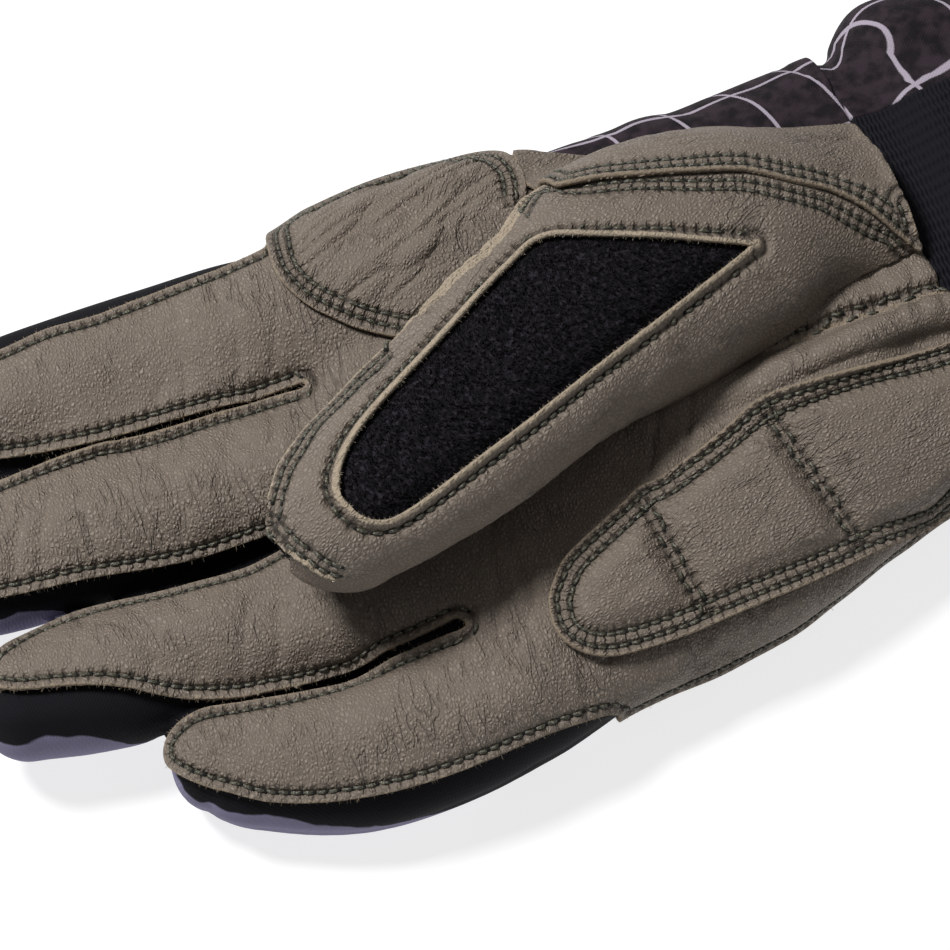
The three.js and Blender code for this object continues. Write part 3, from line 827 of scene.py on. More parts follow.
def leather_material(name, turn, raw=RAW, edge_rows=(), seam_rows=()):
    """Grained leather: pebbles in rows across the turned x axis, dented along its rows of stitches. Painted
    shade darkens the gaps between pebbles, the creases, the stitch grooves and the needle holes.
    """
    material, tree, shader = new_material(name, 0.5)
    warp = texture(tree, "Noise", place_in_mm(tree), 0.35, Detail=1)["Color"]
    shift = add_node(tree, "ShaderNodeVectorMath", {0: warp, 1: (0.8, 0.8, 0.8)}, operation="MULTIPLY")
    plain = place_in_mm(tree, turn, (0.62, 1.0, 0.85))
    warped = add_node(tree, "ShaderNodeVectorMath", {0: shift.outputs[0], 1: plain}, operation="ADD")
    pebble, fine = (
        add_node(tree, "ShaderNodeTexVoronoi", {"Vector": warped.outputs[0], "Scale": scale},
                 feature="DISTANCE_TO_EDGE") for scale in (1.0, 2.1)
    )
    stretched = place_in_mm(tree, turn, (2.4, 11.0, 6.0))
    fold = texture(tree, "Noise", stretched, 1.0, Detail=2, Distortion=0.5)["Fac"]
    crease = ramp(tree, math_node(tree, "ABSOLUTE", minus(tree, fold, 0.5)), 0, 0.04, 1, 0)
    patchy = spots(tree, 0.09, 3)
    crease = times(tree, crease, ramp(tree, patchy, 0.46, 0.62))
    dome = ramp(tree, pebble.outputs["Distance"], 0.0, 0.5)
    gap = ramp(tree, pebble.outputs["Distance"], 0.02, 0.22, 1, 0)
    strength = ramp(tree, patchy, 0.3, 0.65, 0.7, 1.0)
    small = times(tree, ramp(tree, fine.outputs["Distance"], 0.0, 0.2), 0.12)
    height = times(tree, math_node(tree, "ADD", dome, small), strength)
    height = minus(tree, height, times(tree, crease, 0.9))
    # Painted shade: the hide's colour is darkened in the gaps between pebbles and along the creases.
    painted_shade = larger(tree, times(tree, times(tree, gap, strength), 0.52), times(tree, crease, 0.55))
    for edge, along, rows in (("edge_mm", "edge_at_mm", edge_rows), ("seam_mm", "seam_at_mm", seam_rows)):
        if not rows:
            continue
        beat = math_node(tree, "PINGPONG", mark(tree, along), STITCH_PITCH / 2)
        hole = ramp(tree, beat, 0.2, 0.75, 1, 0)
        for row in rows:
            away = math_node(tree, "ABSOLUTE", minus(tree, mark(tree, edge), row))
            groove = ramp(tree, away, 0.1, 0.85, 1, 0)
            painted_hole_shade = times(tree, ramp(tree, away, 0.15, 0.7, 1, 0), hole)
            pull = times(tree, ramp(tree, away, 0.3, 1.9, 1, 0), hole)
            height = minus(tree, minus(tree, height, times(tree, groove, 1.6)), times(tree, pull, 2.2))
            # Painted shade along each row's groove and at its needle holes.
            painted_shade = larger(tree, larger(tree, painted_shade, times(tree, groove, 0.62)), painted_hole_shade)
    tone = mixed_color(tree, ramp(tree, patchy, 0.3, 0.7), HIDE, HIDE_LIGHT)
    # Painted shade: where that mask is high, the hide is darkened towards its shaded colour.
    color = mixed_color(tree, painted_shade, tone, HIDE_PAINTED_SHADE)
    fuzz = spots(tree, 1.6, 4)
    ragged = times(tree, minus(tree, fuzz, 0.5), 0.9)
    worn = ramp(tree, math_node(tree, "ADD", mark(tree, "raw_mm"), ragged), -0.12, 0.12)
    raw_tone = mixed_color(tree, fuzz, darker(raw, 0.55), raw)
    tree.links.new(mixed_color(tree, worn, color, raw_tone), shader.inputs["Base Color"])
    dull = larger(tree, ramp(tree, gap, 0, 1, 0.54, 0.72), times(tree, worn, 0.95))
    tree.links.new(dull, shader.inputs["Roughness"])
    add_bump(tree, shader, height, 0.27)
    return material


def darker(color, share):
    return tuple(share * c for c in color[:3]) + (1,)


def raw_material(name, color):
    """The cut edge of the hide, fibrous and lighter than its grain."""
    material, tree, shader = new_material(name, 0.95)
    fibre = spots(tree, 2.2, 5)
    tree.links.new(mixed_color(tree, fibre, darker(color, 0.5), color), shader.inputs["Base Color"])
    add_bump(tree, shader, fibre, 0.3)
    return material


raw_edge = raw_material("raw_leather_edge", RAW)
raw_pale = raw_material("raw_leather_edge_pale", RAW_PALE)

thread_material, thread_tree, thread_shader = new_material("sewing_thread", 0.42)
# One noise gives the thread both its bump and its painted highlight: its high spots take the lit colour.
twist_and_painted_highlight = spots(thread_tree, 2.6, 2)
thread_color = mixed_color(thread_tree, ramp(thread_tree, twist_and_painted_highlight, 0.5, 0.75), THREAD, THREAD_LIT)
thread_tree.links.new(thread_color, thread_shader.inputs["Base Color"])
add_bump(thread_tree, thread_shader, twist_and_painted_highlight, 0.2)
# The needle holes' painted shade: a near-black material for the small balls beside the stitches.
hole_shade_material, _, hole_shade_shader = new_material("stitch_hole_painted_shade", 1.0)
hole_shade_shader.inputs["Base Color"].default_value = HOLE_PAINTED_SHADE


def new_group(name, sizes, more=()):
    """A Geometry Nodes group with named inputs: places, sizes in metres, a seed and other materials."""
    tree = bpy.data.node_groups.new(name, "GeometryNodeTree")
    kinds = {"Geometry": "Geometry", **dict.fromkeys(sizes, "Float"), "Seed": "Int"}
    for label, kind in [*kinds.items(), *((label, "Material") for label in more)]:
        socket = tree.interface.new_socket(label, in_out="INPUT", socket_type=f"NodeSocket{kind}")
        if label in sizes:
            socket.default_value = sizes[label]
    tree.interface.new_socket("Geometry", in_out="OUTPUT", socket_type="NodeSocketGeometry")
    return tree, tree.nodes.new("NodeGroupInput").outputs


def give_out(tree, geometry):
    """The group's output linked to what it has made."""
    tree.links.new(geometry, tree.nodes.new("NodeGroupOutput").inputs["Geometry"])
    return tree


def named(tree, name, kind="FLOAT_VECTOR"):
    """The mark of that name on each point or face, inside a Geometry Nodes group."""
    found = add_node(tree, "GeometryNodeInputNamedAttribute", {"Name": name}, data_type=kind)
    return found.outputs["Attribute"]


def point_at(tree, x=0.0, z=0.0):
    return add_node(tree, "ShaderNodeCombineXYZ", {0: x, 2: z}).outputs[0]


def stitch_tree():
    """One arched stitch of thread at each point and, beside it, a small dark flattened ball as painted shade
    of the needle hole, laid along its lay and up marks.
    """
    tree, given = new_group("stitches", {"Length": 0.0021, "Thickness": 0.0005, "Hole": 0.0006})
    half = times(tree, given["Length"], 0.5)
    below = times(tree, given["Thickness"], -0.55)
    arch = add_node(tree, "GeometryNodeCurveQuadraticBezier", {
        "Resolution": 4, "Start": point_at(tree, times(tree, half, -1.0), below),
        "Middle": point_at(tree, z=times(tree, given["Thickness"], 1.1)), "End": point_at(tree, half, below),
    })
    ring = add_node(tree, "GeometryNodeCurvePrimitiveCircle", {
        "Resolution": 5, "Radius": times(tree, given["Thickness"], 0.5),
    })
    thread = add_node(tree, "GeometryNodeCurveToMesh", {
        "Curve": arch.outputs["Curve"], "Profile Curve": ring.outputs["Curve"], "Fill Caps": True,
    })
    # A small dark flattened ball beside each stitch, as painted shade of its needle hole.
    ball = add_node(tree, "GeometryNodeMeshUVSphere", {
        "Segments": 6, "Rings": 3, "Radius": times(tree, given["Hole"], 0.5),
    })
    hole = add_node(tree, "GeometryNodeTransform", {
        "Geometry": ball.outputs["Mesh"], "Translation": point_at(tree, times(tree, half, 1.08)),
        "Scale": (1.0, 0.75, 0.35),
    })
    hole_mark = add_node(
        tree, "GeometryNodeStoreNamedAttribute",
        {"Geometry": hole.outputs["Geometry"], "Name": "is_hole", "Value": True},
        data_type="BOOLEAN", domain="FACE",
    )
    one = add_node(tree, "GeometryNodeJoinGeometry")
    tree.links.new(thread.outputs["Mesh"], one.inputs["Geometry"])
    tree.links.new(hole_mark.outputs["Geometry"], one.inputs["Geometry"])
    along = add_node(tree, "FunctionNodeAlignRotationToVector", {"Vector": named(tree, "lay")}, axis="X")
    upright = add_node(tree, "FunctionNodeAlignRotationToVector", {
        "Rotation": along.outputs[0], "Vector": named(tree, "up"),
    }, axis="Z", pivot_axis="X")
    shake = add_node(tree, "FunctionNodeRandomValue", {
        "Min": (-0.05, -0.04, -0.16), "Max": (0.05, 0.04, 0.16), "Seed": given["Seed"],
    }, data_type="FLOAT_VECTOR")
    skew = add_node(tree, "FunctionNodeEulerToRotation", {0: shake.outputs["Value"]})
    skewed = add_node(tree, "FunctionNodeRotateRotation", {
        "Rotation": upright.outputs[0], "Rotate By": skew.outputs[0],
    }, rotation_space="LOCAL")
    placed = add_node(tree, "GeometryNodeInstanceOnPoints", {
        "Points": given["Geometry"], "Instance": one.outputs["Geometry"], "Rotation": skewed.outputs[0],
    })
    real = add_node(tree, "GeometryNodeRealizeInstances", {"Geometry": placed.outputs["Instances"]})
    round_look = add_node(tree, "GeometryNodeSetShadeSmooth", {"Geometry": real.outputs["Geometry"]})
    threads = add_node(tree, "GeometryNodeSetMaterial", {
        "Geometry": round_look.outputs["Geometry"], "Material": thread_material,
    })
    holes = add_node(tree, "GeometryNodeSetMaterial", {
        "Geometry": threads.outputs["Geometry"], "Material": hole_shade_material,
        "Selection": named(tree, "is_hole", "BOOLEAN"),
    })
    return give_out(tree, holes.outputs["Geometry"])


STITCHES = stitch_tree()


def row_places(points, triangles, edge, along, row):
    """Where one row's stitches lie: a place, direction and normal for each stitch pitch along the edge."""
    value = edge - row
    normals = normals_of(points, triangles)
    beat = along / STITCH_PITCH - 0.5
    ends = []
    within = (value[triangles] < 0).sum(1)
    corners = triangles[(within > 0) & (within < 3)]
    alone = (value[corners] < 0).sum(1) == 1
    odd = np.where(alone[:, None], value[corners] < 0, value[corners] >= 0).argmax(1)
    corners = np.take_along_axis(corners, (odd[:, None] + (0, 1, 2)) % 3, 1)
    for other in (1, 2):
        a, b = corners[:, 0], corners[:, other]
        t = (value[a] / (value[a] - value[b]))[:, None]
        ends.append([column[a].reshape(len(a), -1) * (1 - t) + column[b].reshape(len(a), -1) * t
                     for column in (points, normals, beat)])
    (p, n, s), (q, m, r) = ends
    s, r = s[:, 0], r[:, 0]
    crossed = (np.floor(s) != np.floor(r)) & (np.abs(s - r) < 0.9)
    p, q, n, m, s, r = (column[crossed] for column in (p, q, n, m, s, r))
    whole = np.maximum(np.floor(s), np.floor(r))
    t = ((whole - s) / (r - s))[:, None]
    place, normal = p + (q - p) * t, n + (m - n) * t
    order = np.argsort(whole)
    place, normal, whole = place[order], normal[order], whole[order]
    keep = np.concatenate([[True], np.diff(whole) > 0.5])
    place, normal = place[keep], normal[keep]
    lay = np.roll(place, -1, 0) - np.roll(place, 1, 0)
    step_on = np.roll(place, -1, 0) - place
    step_back = place - np.roll(place, 1, 0)
    far = 2.2 * STITCH_PITCH
    lay = np.where(np.linalg.norm(step_on, axis=1, keepdims=True) > far, step_back, lay)
    lay = np.where(np.linalg.norm(step_back, axis=1, keepdims=True) > far, step_on, lay)
    return place, lay, normal


def grown(name, place, vectors, tree, values):
    """What a Geometry Nodes tree makes at places in millimetres with vector marks, as a piece of its own."""
    mesh = bpy.data.meshes.new(name)
    mesh.from_pydata(((place - MIDDLE) * MM).tolist(), [], [])
    for key, column in vectors.items():
        column = column.astype(np.float32).ravel()
        mesh.attributes.new(key, "FLOAT_VECTOR", "POINT").data.foreach_set("vector", column)
    made = bpy.data.objects.new(name, mesh)
    bpy.context.scene.collection.objects.link(made)
    modifier = made.modifiers.new(tree.name, "NODES")
    modifier.node_group = tree
    sockets = {item.name: item.identifier for item in tree.interface.items_tree if item.in_out == "INPUT"}
    for name, value in values.items():
        modifier[sockets[name]] = value
    evaluated = made.evaluated_get(bpy.context.evaluated_depsgraph_get())
    result = bpy.data.meshes.new_from_object(evaluated)
    made.modifiers.clear()
    made.data = result
    result.name = made.name
    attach(made, "root")


STITCH_LENGTH, STITCH_THICKNESS, NEEDLE_HOLE = 1.9, 0.78, 1.2


def stitches_object(name, rows, seed):
    """Stitches of thread on a list of rows, each from row_places."""
    place, lay, up = (np.concatenate([row[i] for row in rows]) for i in range(3))
    values = {
        "Length": STITCH_LENGTH * MM, "Thickness": STITCH_THICKNESS * MM,
        "Hole": NEEDLE_HOLE * MM, "Seed": seed,
    }
    grown(name, place, {"lay": lay, "up": up}, STITCHES, values)


def fibre_tree():
    """A thin pointed fibre at each point, standing along its lay mark."""
    tree, given = new_group("fibres", {"Length": 0.0008, "Thickness": 0.00012}, ["Material"])
    cone = add_node(tree, "GeometryNodeMeshCone", {
        "Vertices": 3, "Radius Top": 0.00001, "Radius Bottom": times(tree, given["Thickness"], 0.5),
        "Depth": given["Length"],
    })
    along = add_node(tree, "FunctionNodeAlignRotationToVector", {"Vector": named(tree, "lay")}, axis="Z")
    sizes = {2: 0.45, 3: 1.25, "Seed": given["Seed"]}
    size = add_node(tree, "FunctionNodeRandomValue", sizes, data_type="FLOAT")
    placed = add_node(tree, "GeometryNodeInstanceOnPoints", {
        "Points": given["Geometry"], "Instance": cone.outputs["Mesh"], "Rotation": along.outputs[0],
        "Scale": size.outputs[1],
    })
    real = add_node(tree, "GeometryNodeRealizeInstances", {"Geometry": placed.outputs["Instances"]})
    painted = add_node(tree, "GeometryNodeSetMaterial", {
        "Geometry": real.outputs["Geometry"], "Material": given["Material"],
    })
    return give_out(tree, painted.outputs["Geometry"])


FIBRES = fibre_tree()
FIBRE_DROOP = 0.6


def fibres_object(name, slot_name, place, lay, material, seed, length, thickness=0.12):
    values = {"Length": length * MM, "Thickness": thickness * MM, "Seed": seed, "Material": material}
    grown(name, place, {"lay": lay}, FIBRES, values)


def edge_fibres(points, triangles, spacing, seed, keep):
    """Places and directions for fibres that stand out of a sheet's cut edge."""
    draw = np.random.default_rng(seed)
    normals = normals_of(points, triangles)
    places, lays = [], []
    for line in border_lines(triangles):
        ring = np.array(line[:-1])
        a, b = points[ring], points[np.roll(ring, -1)]
        out = np.cross(np.roll(a, -1, 0) - np.roll(a, 1, 0), normals[ring])
        out /= np.maximum(np.linalg.norm(out, axis=1, keepdims=True), 1e-9)
        count = np.maximum(draw.poisson(np.linalg.norm(b - a, axis=1) / spacing), 0)
        index = np.repeat(np.arange(len(ring)), count)
        t, depth = draw.random(len(index))[:, None], draw.random(len(index))[:, None] * LEATHER
        place = a[index] + (b[index] - a[index]) * t - normals[ring][index] * depth
        spread = draw.normal(0, 0.45, (len(index), 3))
        lay = out[index] - normals[ring][index] * (FIBRE_DROOP * (depth / LEATHER - 0.3)) + spread
        chosen = keep(place)
        places.append(place[chosen])
        lays.append(lay[chosen])
    return np.concatenate(places), np.concatenate(lays)


# The mark of a place that is far from any edge or seam, and more stitches than one line of them has: places
# on a second line are counted on from there.
FAR = 99.0
LINE_STITCHES = 1000


def leather_marks(edge, edge_at, raw, seam=None, seam_at=None):
    """What the leather's material reads at each point: places by its edge and its seam, and its raw rim."""
    far = np.full(len(edge), FAR)
    seam, seam_at = (far, far) if seam is None else (seam, seam_at)
    return {"edge_mm": edge, "edge_at_mm": edge_at, "seam_mm": seam, "seam_at_mm": seam_at, "raw_mm": raw}


def grooved(rise, edge, rows):
    """The height of the leather, sunk along its rows of stitches."""
    for row in rows:
        rise = rise - ROW_SINK * ridge(edge - row, 0.7)
    return rise


def leather_distance(points):
    """The palm leather's own form: it bridges the creases between the fingers."""
    return hand_distance(points, CREASE_SPAN)


def to_line(line, points):
    """Distance on the floor plan to a smooth line, and how far along it the nearest place is."""
    steps = np.stack([through([corner[i] for corner in line], 60) for i in (0, 1)], 1)
    apart = np.linalg.norm(points[:, None, :2] - steps[None], axis=2)
    run = np.concatenate([[0], np.cumsum(np.linalg.norm(np.diff(steps, axis=0), axis=1))])
    return apart.min(1), run[apart.argmin(1)]


palm_points, palm_triangles = skin(leather_distance, HAND_LOW, HAND_HIGH, PALM_STEP)
palm_edge = np.maximum(leather_edge(palm_points), palm_points[:, 0] - WRIST_END)
palm_points, palm_triangles = clipped(palm_points, palm_triangles, palm_edge)
palm_points = smoothed_border(leather_distance, palm_points, palm_triangles)
edge, along = edge_distances(palm_points, palm_triangles, lambda p: p[:, 0] < WRIST_END - 1.5)
normals = normals_of(palm_points, palm_triangles)
wrinkle = 0.45 * creases(palm_points, 2.6, 9, 8, 31) + 0.8 * creases(palm_points, 5, 14, -20, 35)
wrinkle *= smooth(edge, 1.5, 5) * (0.35 + 0.65 * smooth(noise(palm_points / 22, 33), -0.3, 0.5))
rise = 0.35 * noise(palm_points / 9, 32) + 1.0 * noise(palm_points / 16, 34) * smooth(edge, 0, 6) - wrinkle
# Folds by the wrist run along the hand: where each lies, how wide it is and how high it stands.
WRIST_FOLDS = ((-3.2, 2.6, 1.6), (1.8, 1.5, -1.6), (-7.6, 1.4, -1.4))
by_wrist = smooth(palm_points[:, 0], 36, 48)
for fold_y, fold_width, fold_height in WRIST_FOLDS:
    rise += fold_height * ridge(palm_points[:, 1] - fold_y, fold_width) * by_wrist
rise += EDGE_LIFT * (1 - smooth(edge, 0, 2.4)) - ROW_SINK * ridge(edge - PALM_ROW, 0.8)
# By the wrist the leather has a lap of its own: a raw edge with one row of stitches, between thumb and pad.
LAP_LINE = [(54, 3.4), (58, 2.0), (63.1, 1.4), (71.3, 1.6), (79, 1.5), (88, 1.2), (94, 0.8)]
LAP_ROW = 1.5
LAP_STEP = 0.8
to_lap, lap_at = to_line(LAP_LINE, palm_points)
over_lap = palm_points[:, 1] - np.interp(palm_points[:, 0], *zip(*LAP_LINE))
in_lap = smooth(palm_points[:, 0], 53, 58)
rise += LAP_STEP * smooth(over_lap, -0.3, 0.3) * (1 - smooth(over_lap, 2.5, 7)) * in_lap
lap_seam = np.where((over_lap > 0) & (palm_points[:, 0] > LAP_LINE[0][0]), to_lap, FAR)
palm_points = palm_points + normals * rise[:, None]
palm_raw = np.maximum(0.25 - edge, (0.55 - np.abs(over_lap)) * in_lap - 0.2)
palm_marks = leather_marks(edge, along, palm_raw, lap_seam, lap_at)
palm_grain = leather_material("palm_leather", 4, edge_rows=(PALM_ROW,), seam_rows=(LAP_ROW,))
palm = panel(
    "palm_leather_sheet", "palm_leather", palm_points, palm_triangles, LEATHER,
    [palm_grain, raw_edge], palm_marks,
)
palm_rows = [
    row_places(palm_points, palm_triangles, edge, along, PALM_ROW),
    row_places(palm_points, palm_triangles, lap_seam, lap_at, LAP_ROW),
]
stitches_object("palm_stitches", palm_rows, 1)
palm_fuzz = edge_fibres(palm_points, palm_triangles, 0.55, 41, lambda p: p[:, 0] < 60)
fibres_object("palm_edge_fibres", "leather", *palm_fuzz, raw_edge, 1, 0.75)


# Thumb underside
# The side of the thumb that lies against the palm is the same stretch fabric, in plain black, sewn under the
# thumb leather.

THUMB_OUTLINE = [
    (-47, -12), (-41.8, -5.6), (-40.7, -3.2), (-36.2, 2.8), (-28, 9.2), (-18.1, 14.3), (-7.4, 19.6),
    (-1.3, 22.9), (6, 26.9), (12.8, 29.9), (19.5, 34.2), (24.1, 38.4), (28, 42.5), (33.4, 42.6), (40, 40),
    (50, 36.6), (57, 34.2), (65, 31.8), (72.5, 28), (80, 25), (86, 20.5), (93.4, 15), (93.4, -16), (60, -18),
    (30, -22), (0, -30), (-26, -36), (-46, -26),
]
# The thumb's box, the height from which its leather starts, and where its fabric ends at the wrist.
THUMB_BOX = ((-45, -34, 6), (104, 56, 62))
THUMB_FROM = 27
UNDERSIDE_STEP = 1.1
UNDERSIDE_END = 90


# The raw edge of the thumb leather round the tip, in space: its rows of stitches end where a fold goes on.
TIP_LINE = [
    (-40.2, -2.6, 50.4), (-41.4, -6.2, 48.3), (-40.6, -9.3, 48.6), (-39.4, -12.8, 48.6), (-37.7, -15.2, 48.6),
    (-36, -17.5, 47.7), (-33, -19.6, 47), (-29.6, -20.3, 48.1), (-24, -20.5, 46.4),
]
TIP_ROWS_STOP = -33.4
# The leather is open under that edge, on this side of the thumb's tip.
GAP_STOPS = {"x": -33, "y": -12.5}
TIP_FROM = -30


def by_tip_line(points):
    """Distance from the tip's raw edge, above 0 over it and below 0 under it, and the place along it."""
    line = np.stack([through([corner[i] for corner in TIP_LINE], 80) for i in range(3)], 1)
    apart = np.linalg.norm(points[:, None] - line[None], axis=2)
    nearest = apart.argmin(1)
    run = np.concatenate([[0], np.cumsum(np.linalg.norm(np.diff(line, axis=0), axis=1))])
    return apart.min(1) * np.sign(points[:, 2] - line[nearest, 2]), run[nearest], line[nearest, 0]


def thumb_field(points):
    """Distance to the edge of the thumb leather, negative on the leather."""
    value = np.maximum(beside(THUMB_OUTLINE, points), THUMB_FROM - points[:, 2])
    tip = points[:, 0] < TIP_FROM
    beyond = np.minimum(points[tip, 1] - GAP_STOPS["y"], GAP_STOPS["x"] - points[tip, 0])
    value[tip] = np.maximum(value[tip], np.minimum(-by_tip_line(points[tip])[0], beyond))
    return value


thumb_points, thumb_triangles = skin(thumb_distance, *THUMB_BOX, UNDERSIDE_STEP)
black_fabric, black_tree, black_shader = new_material("black_fabric", 0.85, FABRIC_SHINE)
black_shader.inputs["Base Color"].default_value = BLACK
add_bump(black_tree, black_shader, spots(black_tree, 2.4, 3), 0.12)
under_field = np.maximum(-thumb_field(thumb_points) - FABRIC_TUCK, 0.3 - hand_distance(thumb_points))
under_field = np.maximum(under_field, thumb_points[:, 0] - UNDERSIDE_END)
under_points, under_triangles = clipped(thumb_points, thumb_triangles, under_field)
under_points = under_points - normals_of(under_points, under_triangles) * FABRIC_UNDER
thumb_under = panel(
    "thumb_underside_fabric", "thumb_underside", under_points, under_triangles, FABRIC_WALL,
    [black_fabric],
)


# Nose wipe
# A window of near-black velour on the back of the thumb, set in under the rolled raw edge of the leather.

NOSE_CORNERS = [
    (-28.3, -8.8), (-27.1, -4.6), (-23.3, 0.3), (-15.5, 5.8), (-3.4, 12.7), (9, 19.9), (19.2, 26),
    (22.6, 27.5), (26, 27.3), (33.9, 23.9), (50.8, 17.5), (59.9, 14.4), (59.9, 14.3), (42.7, 7.7), (24, 0.4),
    (5.9, -6.5), (-11.5, -12.4), (-19.7, -14.5), (-23.8, -14.3), (-26.8, -12.3),
]
ROUNDING_STEPS = 5


def rounded(corners):
    """A closed outline with a smooth curve through its corners; two that nearly meet stay sharp."""
    ring = [*corners[-2:], *corners, *corners[:2]]
    count = (len(ring) - 1) * ROUNDING_STEPS + 1
    curve = np.stack([through([c[i] for c in ring], count) for i in (0, 1)], 1)
    return curve[2 * ROUNDING_STEPS:-2 * ROUNDING_STEPS]


NOSE_OUTLINE = rounded(NOSE_CORNERS)
WIPE_TUCK = 2.0
WIPE_WALL = 0.8
PILE = (0.0045, 0.0040, 0.0052, 1)
PILE_TIP = (0.030, 0.026, 0.033, 1)
PILE_COUNT = 10000
THUMB_STEP = 0.56
thumb_points, thumb_triangles = skin(thumb_distance, *THUMB_BOX, THUMB_STEP)
wipe_field = np.maximum(beside(NOSE_OUTLINE, thumb_points) - WIPE_TUCK, THUMB_FROM - thumb_points[:, 2])
wipe_points, wipe_triangles = clipped(thumb_points, thumb_triangles, wipe_field)
inside_window = -beside(NOSE_OUTLINE, wipe_points)
wipe_sunk = 1.3 - 0.9 * smooth(inside_window, 0, 3.5)
wipe_points = wipe_points - normals_of(wipe_points, wipe_triangles) * wipe_sunk[:, None]
velour, velour_tree, velour_shader = new_material("nose_wipe_velour", 0.95, FABRIC_SHINE)
nap = spots(velour_tree, 1.1, 5)
velour_color = mixed_color(velour_tree, ramp(velour_tree, nap, 0.45, 0.75), PILE, PILE_TIP)
velour_tree.links.new(velour_color, velour_shader.inputs["Base Color"])
add_bump(velour_tree, velour_shader, nap, 0.3)
wipe = panel(
    "nose_wipe_velour", "nose_wipe", wipe_points, wipe_triangles, WIPE_WALL, [velour]
)
draw = np.random.default_rng(51)
shown = wipe_triangles[inside_window[wipe_triangles].min(1) > -0.4]
corners = wipe_points[shown]
areas = np.linalg.norm(np.cross(corners[:, 1] - corners[:, 0], corners[:, 2] - corners[:, 0]), axis=1)
chosen = corners[draw.choice(len(shown), PILE_COUNT, p=areas / areas.sum())]
weights = draw.dirichlet((1, 1, 1), len(chosen))
pile_places = (chosen * weights[:, :, None]).sum(1)
pile_up = np.cross(chosen[:, 1] - chosen[:, 0], chosen[:, 2] - chosen[:, 0])
pile_up /= np.linalg.norm(pile_up, axis=1, keepdims=True)
pile_lay = pile_up + draw.normal(0, 0.4, pile_up.shape)
fibres_object("nose_wipe_pile", "nose_wipe_suede", pile_places, pile_lay, velour, 2, 0.9, 0.26)


# Thumb leather
# The leather over the back and the tip of the thumb, with the window cut in it. Its edge is left raw, held by
# two rows of stitches, and rolls up pale where it lies over the web patch.

THUMB_ROWS = (1.3, 3.4)
WINDOW_ROW = 2.3
top_field = np.maximum(thumb_field(thumb_points), -beside(NOSE_OUTLINE, thumb_points))
top_field = np.maximum(top_field, 0.25 - leather_distance(thumb_points))
top_points, top_triangles = clipped(thumb_points, thumb_triangles, top_field)
top_points = smoothed_border(thumb_distance, top_points, top_triangles, 8)


def by_window(p):
    return np.abs(beside(NOSE_OUTLINE, p)) < 1.5


def on_thumb_rim(p):
    under_tip = (p[:, 0] < TIP_FROM) & (p[:, 2] < TIP_LOW)
    return ~by_window(p) & (leather_distance(p) > 1.2) & ~under_tip


# Under the tip's raw edge, this far down, a second layer of leather closes the thumb.
TIP_LOW = 47.6
TIP_STEP = 0.8
border, along = edge_distances(top_points, top_triangles, on_thumb_rim)
over_tip, tip_at, tip_x = by_tip_line(top_points)
near_tip = (np.abs(over_tip) < 9) & (top_points[:, 0] < -20)
at_tip = near_tip & (over_tip > 0) & (over_tip < border) & (tip_x < TIP_ROWS_STOP)
border = np.where(at_tip, over_tip, border)
along = np.where(at_tip, tip_at + 2 * LINE_STITCHES * STITCH_PITCH, along)
# Past the web patch the rows run nearer to the border, and beside the patch there are none.
edge = border - 3.4 * smooth(top_points[:, 0], 28, 35) * smooth(top_points[:, 1], 8, 14)
unsewn = (top_points[:, 0] > -9) & (top_points[:, 0] < 24)
edge = np.where(unsewn | near_tip & ((over_tip < 0) | (tip_x > TIP_ROWS_STOP)), FAR, edge)
seam, seam_at = edge_distances(top_points, top_triangles, by_window)
normals = normals_of(top_points, top_triangles)
rolled = smooth(top_points[:, 0], -9, 8) * (1 - smooth(top_points[:, 0], 24, 34))
raw_width = 0.3 + 1.3 * rolled + 0.9 * smooth(-top_points[:, 1], 7, 14) * at_tip
window_raw = 0.8 + 0.5 * smooth(top_points[:, 1] - 0.45 * top_points[:, 0], 0, 8)
wrinkle = 0.3 * creases(top_points, 2.4, 8, 60, 61) + 0.4 * creases(top_points, 4, 16, 75, 63)
patches = 0.3 + 0.7 * smooth(noise(top_points / 15, 64), -0.2, 0.4)
wrinkle *= smooth(edge, 2, 6) * smooth(seam, 1, 4) * patches
rise = 0.35 * noise(top_points / 9, 62) - wrinkle
rise += (0.35 + 0.5 * rolled) * (1 - smooth(border, 0, 1.6))
under_tip = (1 - smooth(over_tip, -0.35, 0.1)) * smooth(over_tip, -8, -4) * near_tip
rise -= TIP_STEP * under_tip * (1 - smooth(tip_x, -33, -25))
rise = grooved(rise, edge, THUMB_ROWS)
rise += 0.6 * (1 - smooth(seam, 0.5, 1.7)) - 0.65 * ridge(seam - WINDOW_ROW, 0.8)
top_points = top_points + normals * rise[:, None]
thumb_raw = np.maximum(np.where(near_tip & (over_tip < 0), -9, raw_width - border), window_raw - seam)
thumb_marks = leather_marks(edge, along, thumb_raw, seam, seam_at)
thumb_grain = leather_material("thumb_leather", 62, RAW_PALE, THUMB_ROWS, (WINDOW_ROW,))
thumb_top = panel(
    "thumb_leather_sheet", "thumb_leather", top_points, top_triangles, LEATHER,
    [thumb_grain, raw_pale], thumb_marks,
)
thumb_rows = [row_places(top_points, top_triangles, edge, along, row) for row in THUMB_ROWS]
thumb_rows.append(row_places(top_points, top_triangles, seam, seam_at, WINDOW_ROW))
stitches_object("thumb_stitches", thumb_rows, 3)


def on_frayed_edge(p):
    return by_window(p) | (p[:, 0] < -36) & (p[:, 2] > 46)


thumb_fuzz = edge_fibres(top_points, top_triangles, 0.3, 42, on_frayed_edge)
fibres_object("thumb_edge_fibres", "leather", *thumb_fuzz, raw_pale, 4, 0.55)


# Web patch
# A second layer of leather over the palm leather at the fork of the thumb, held by two rows of stitches. It
# is wrinkled hard where the thumb pulls at it.

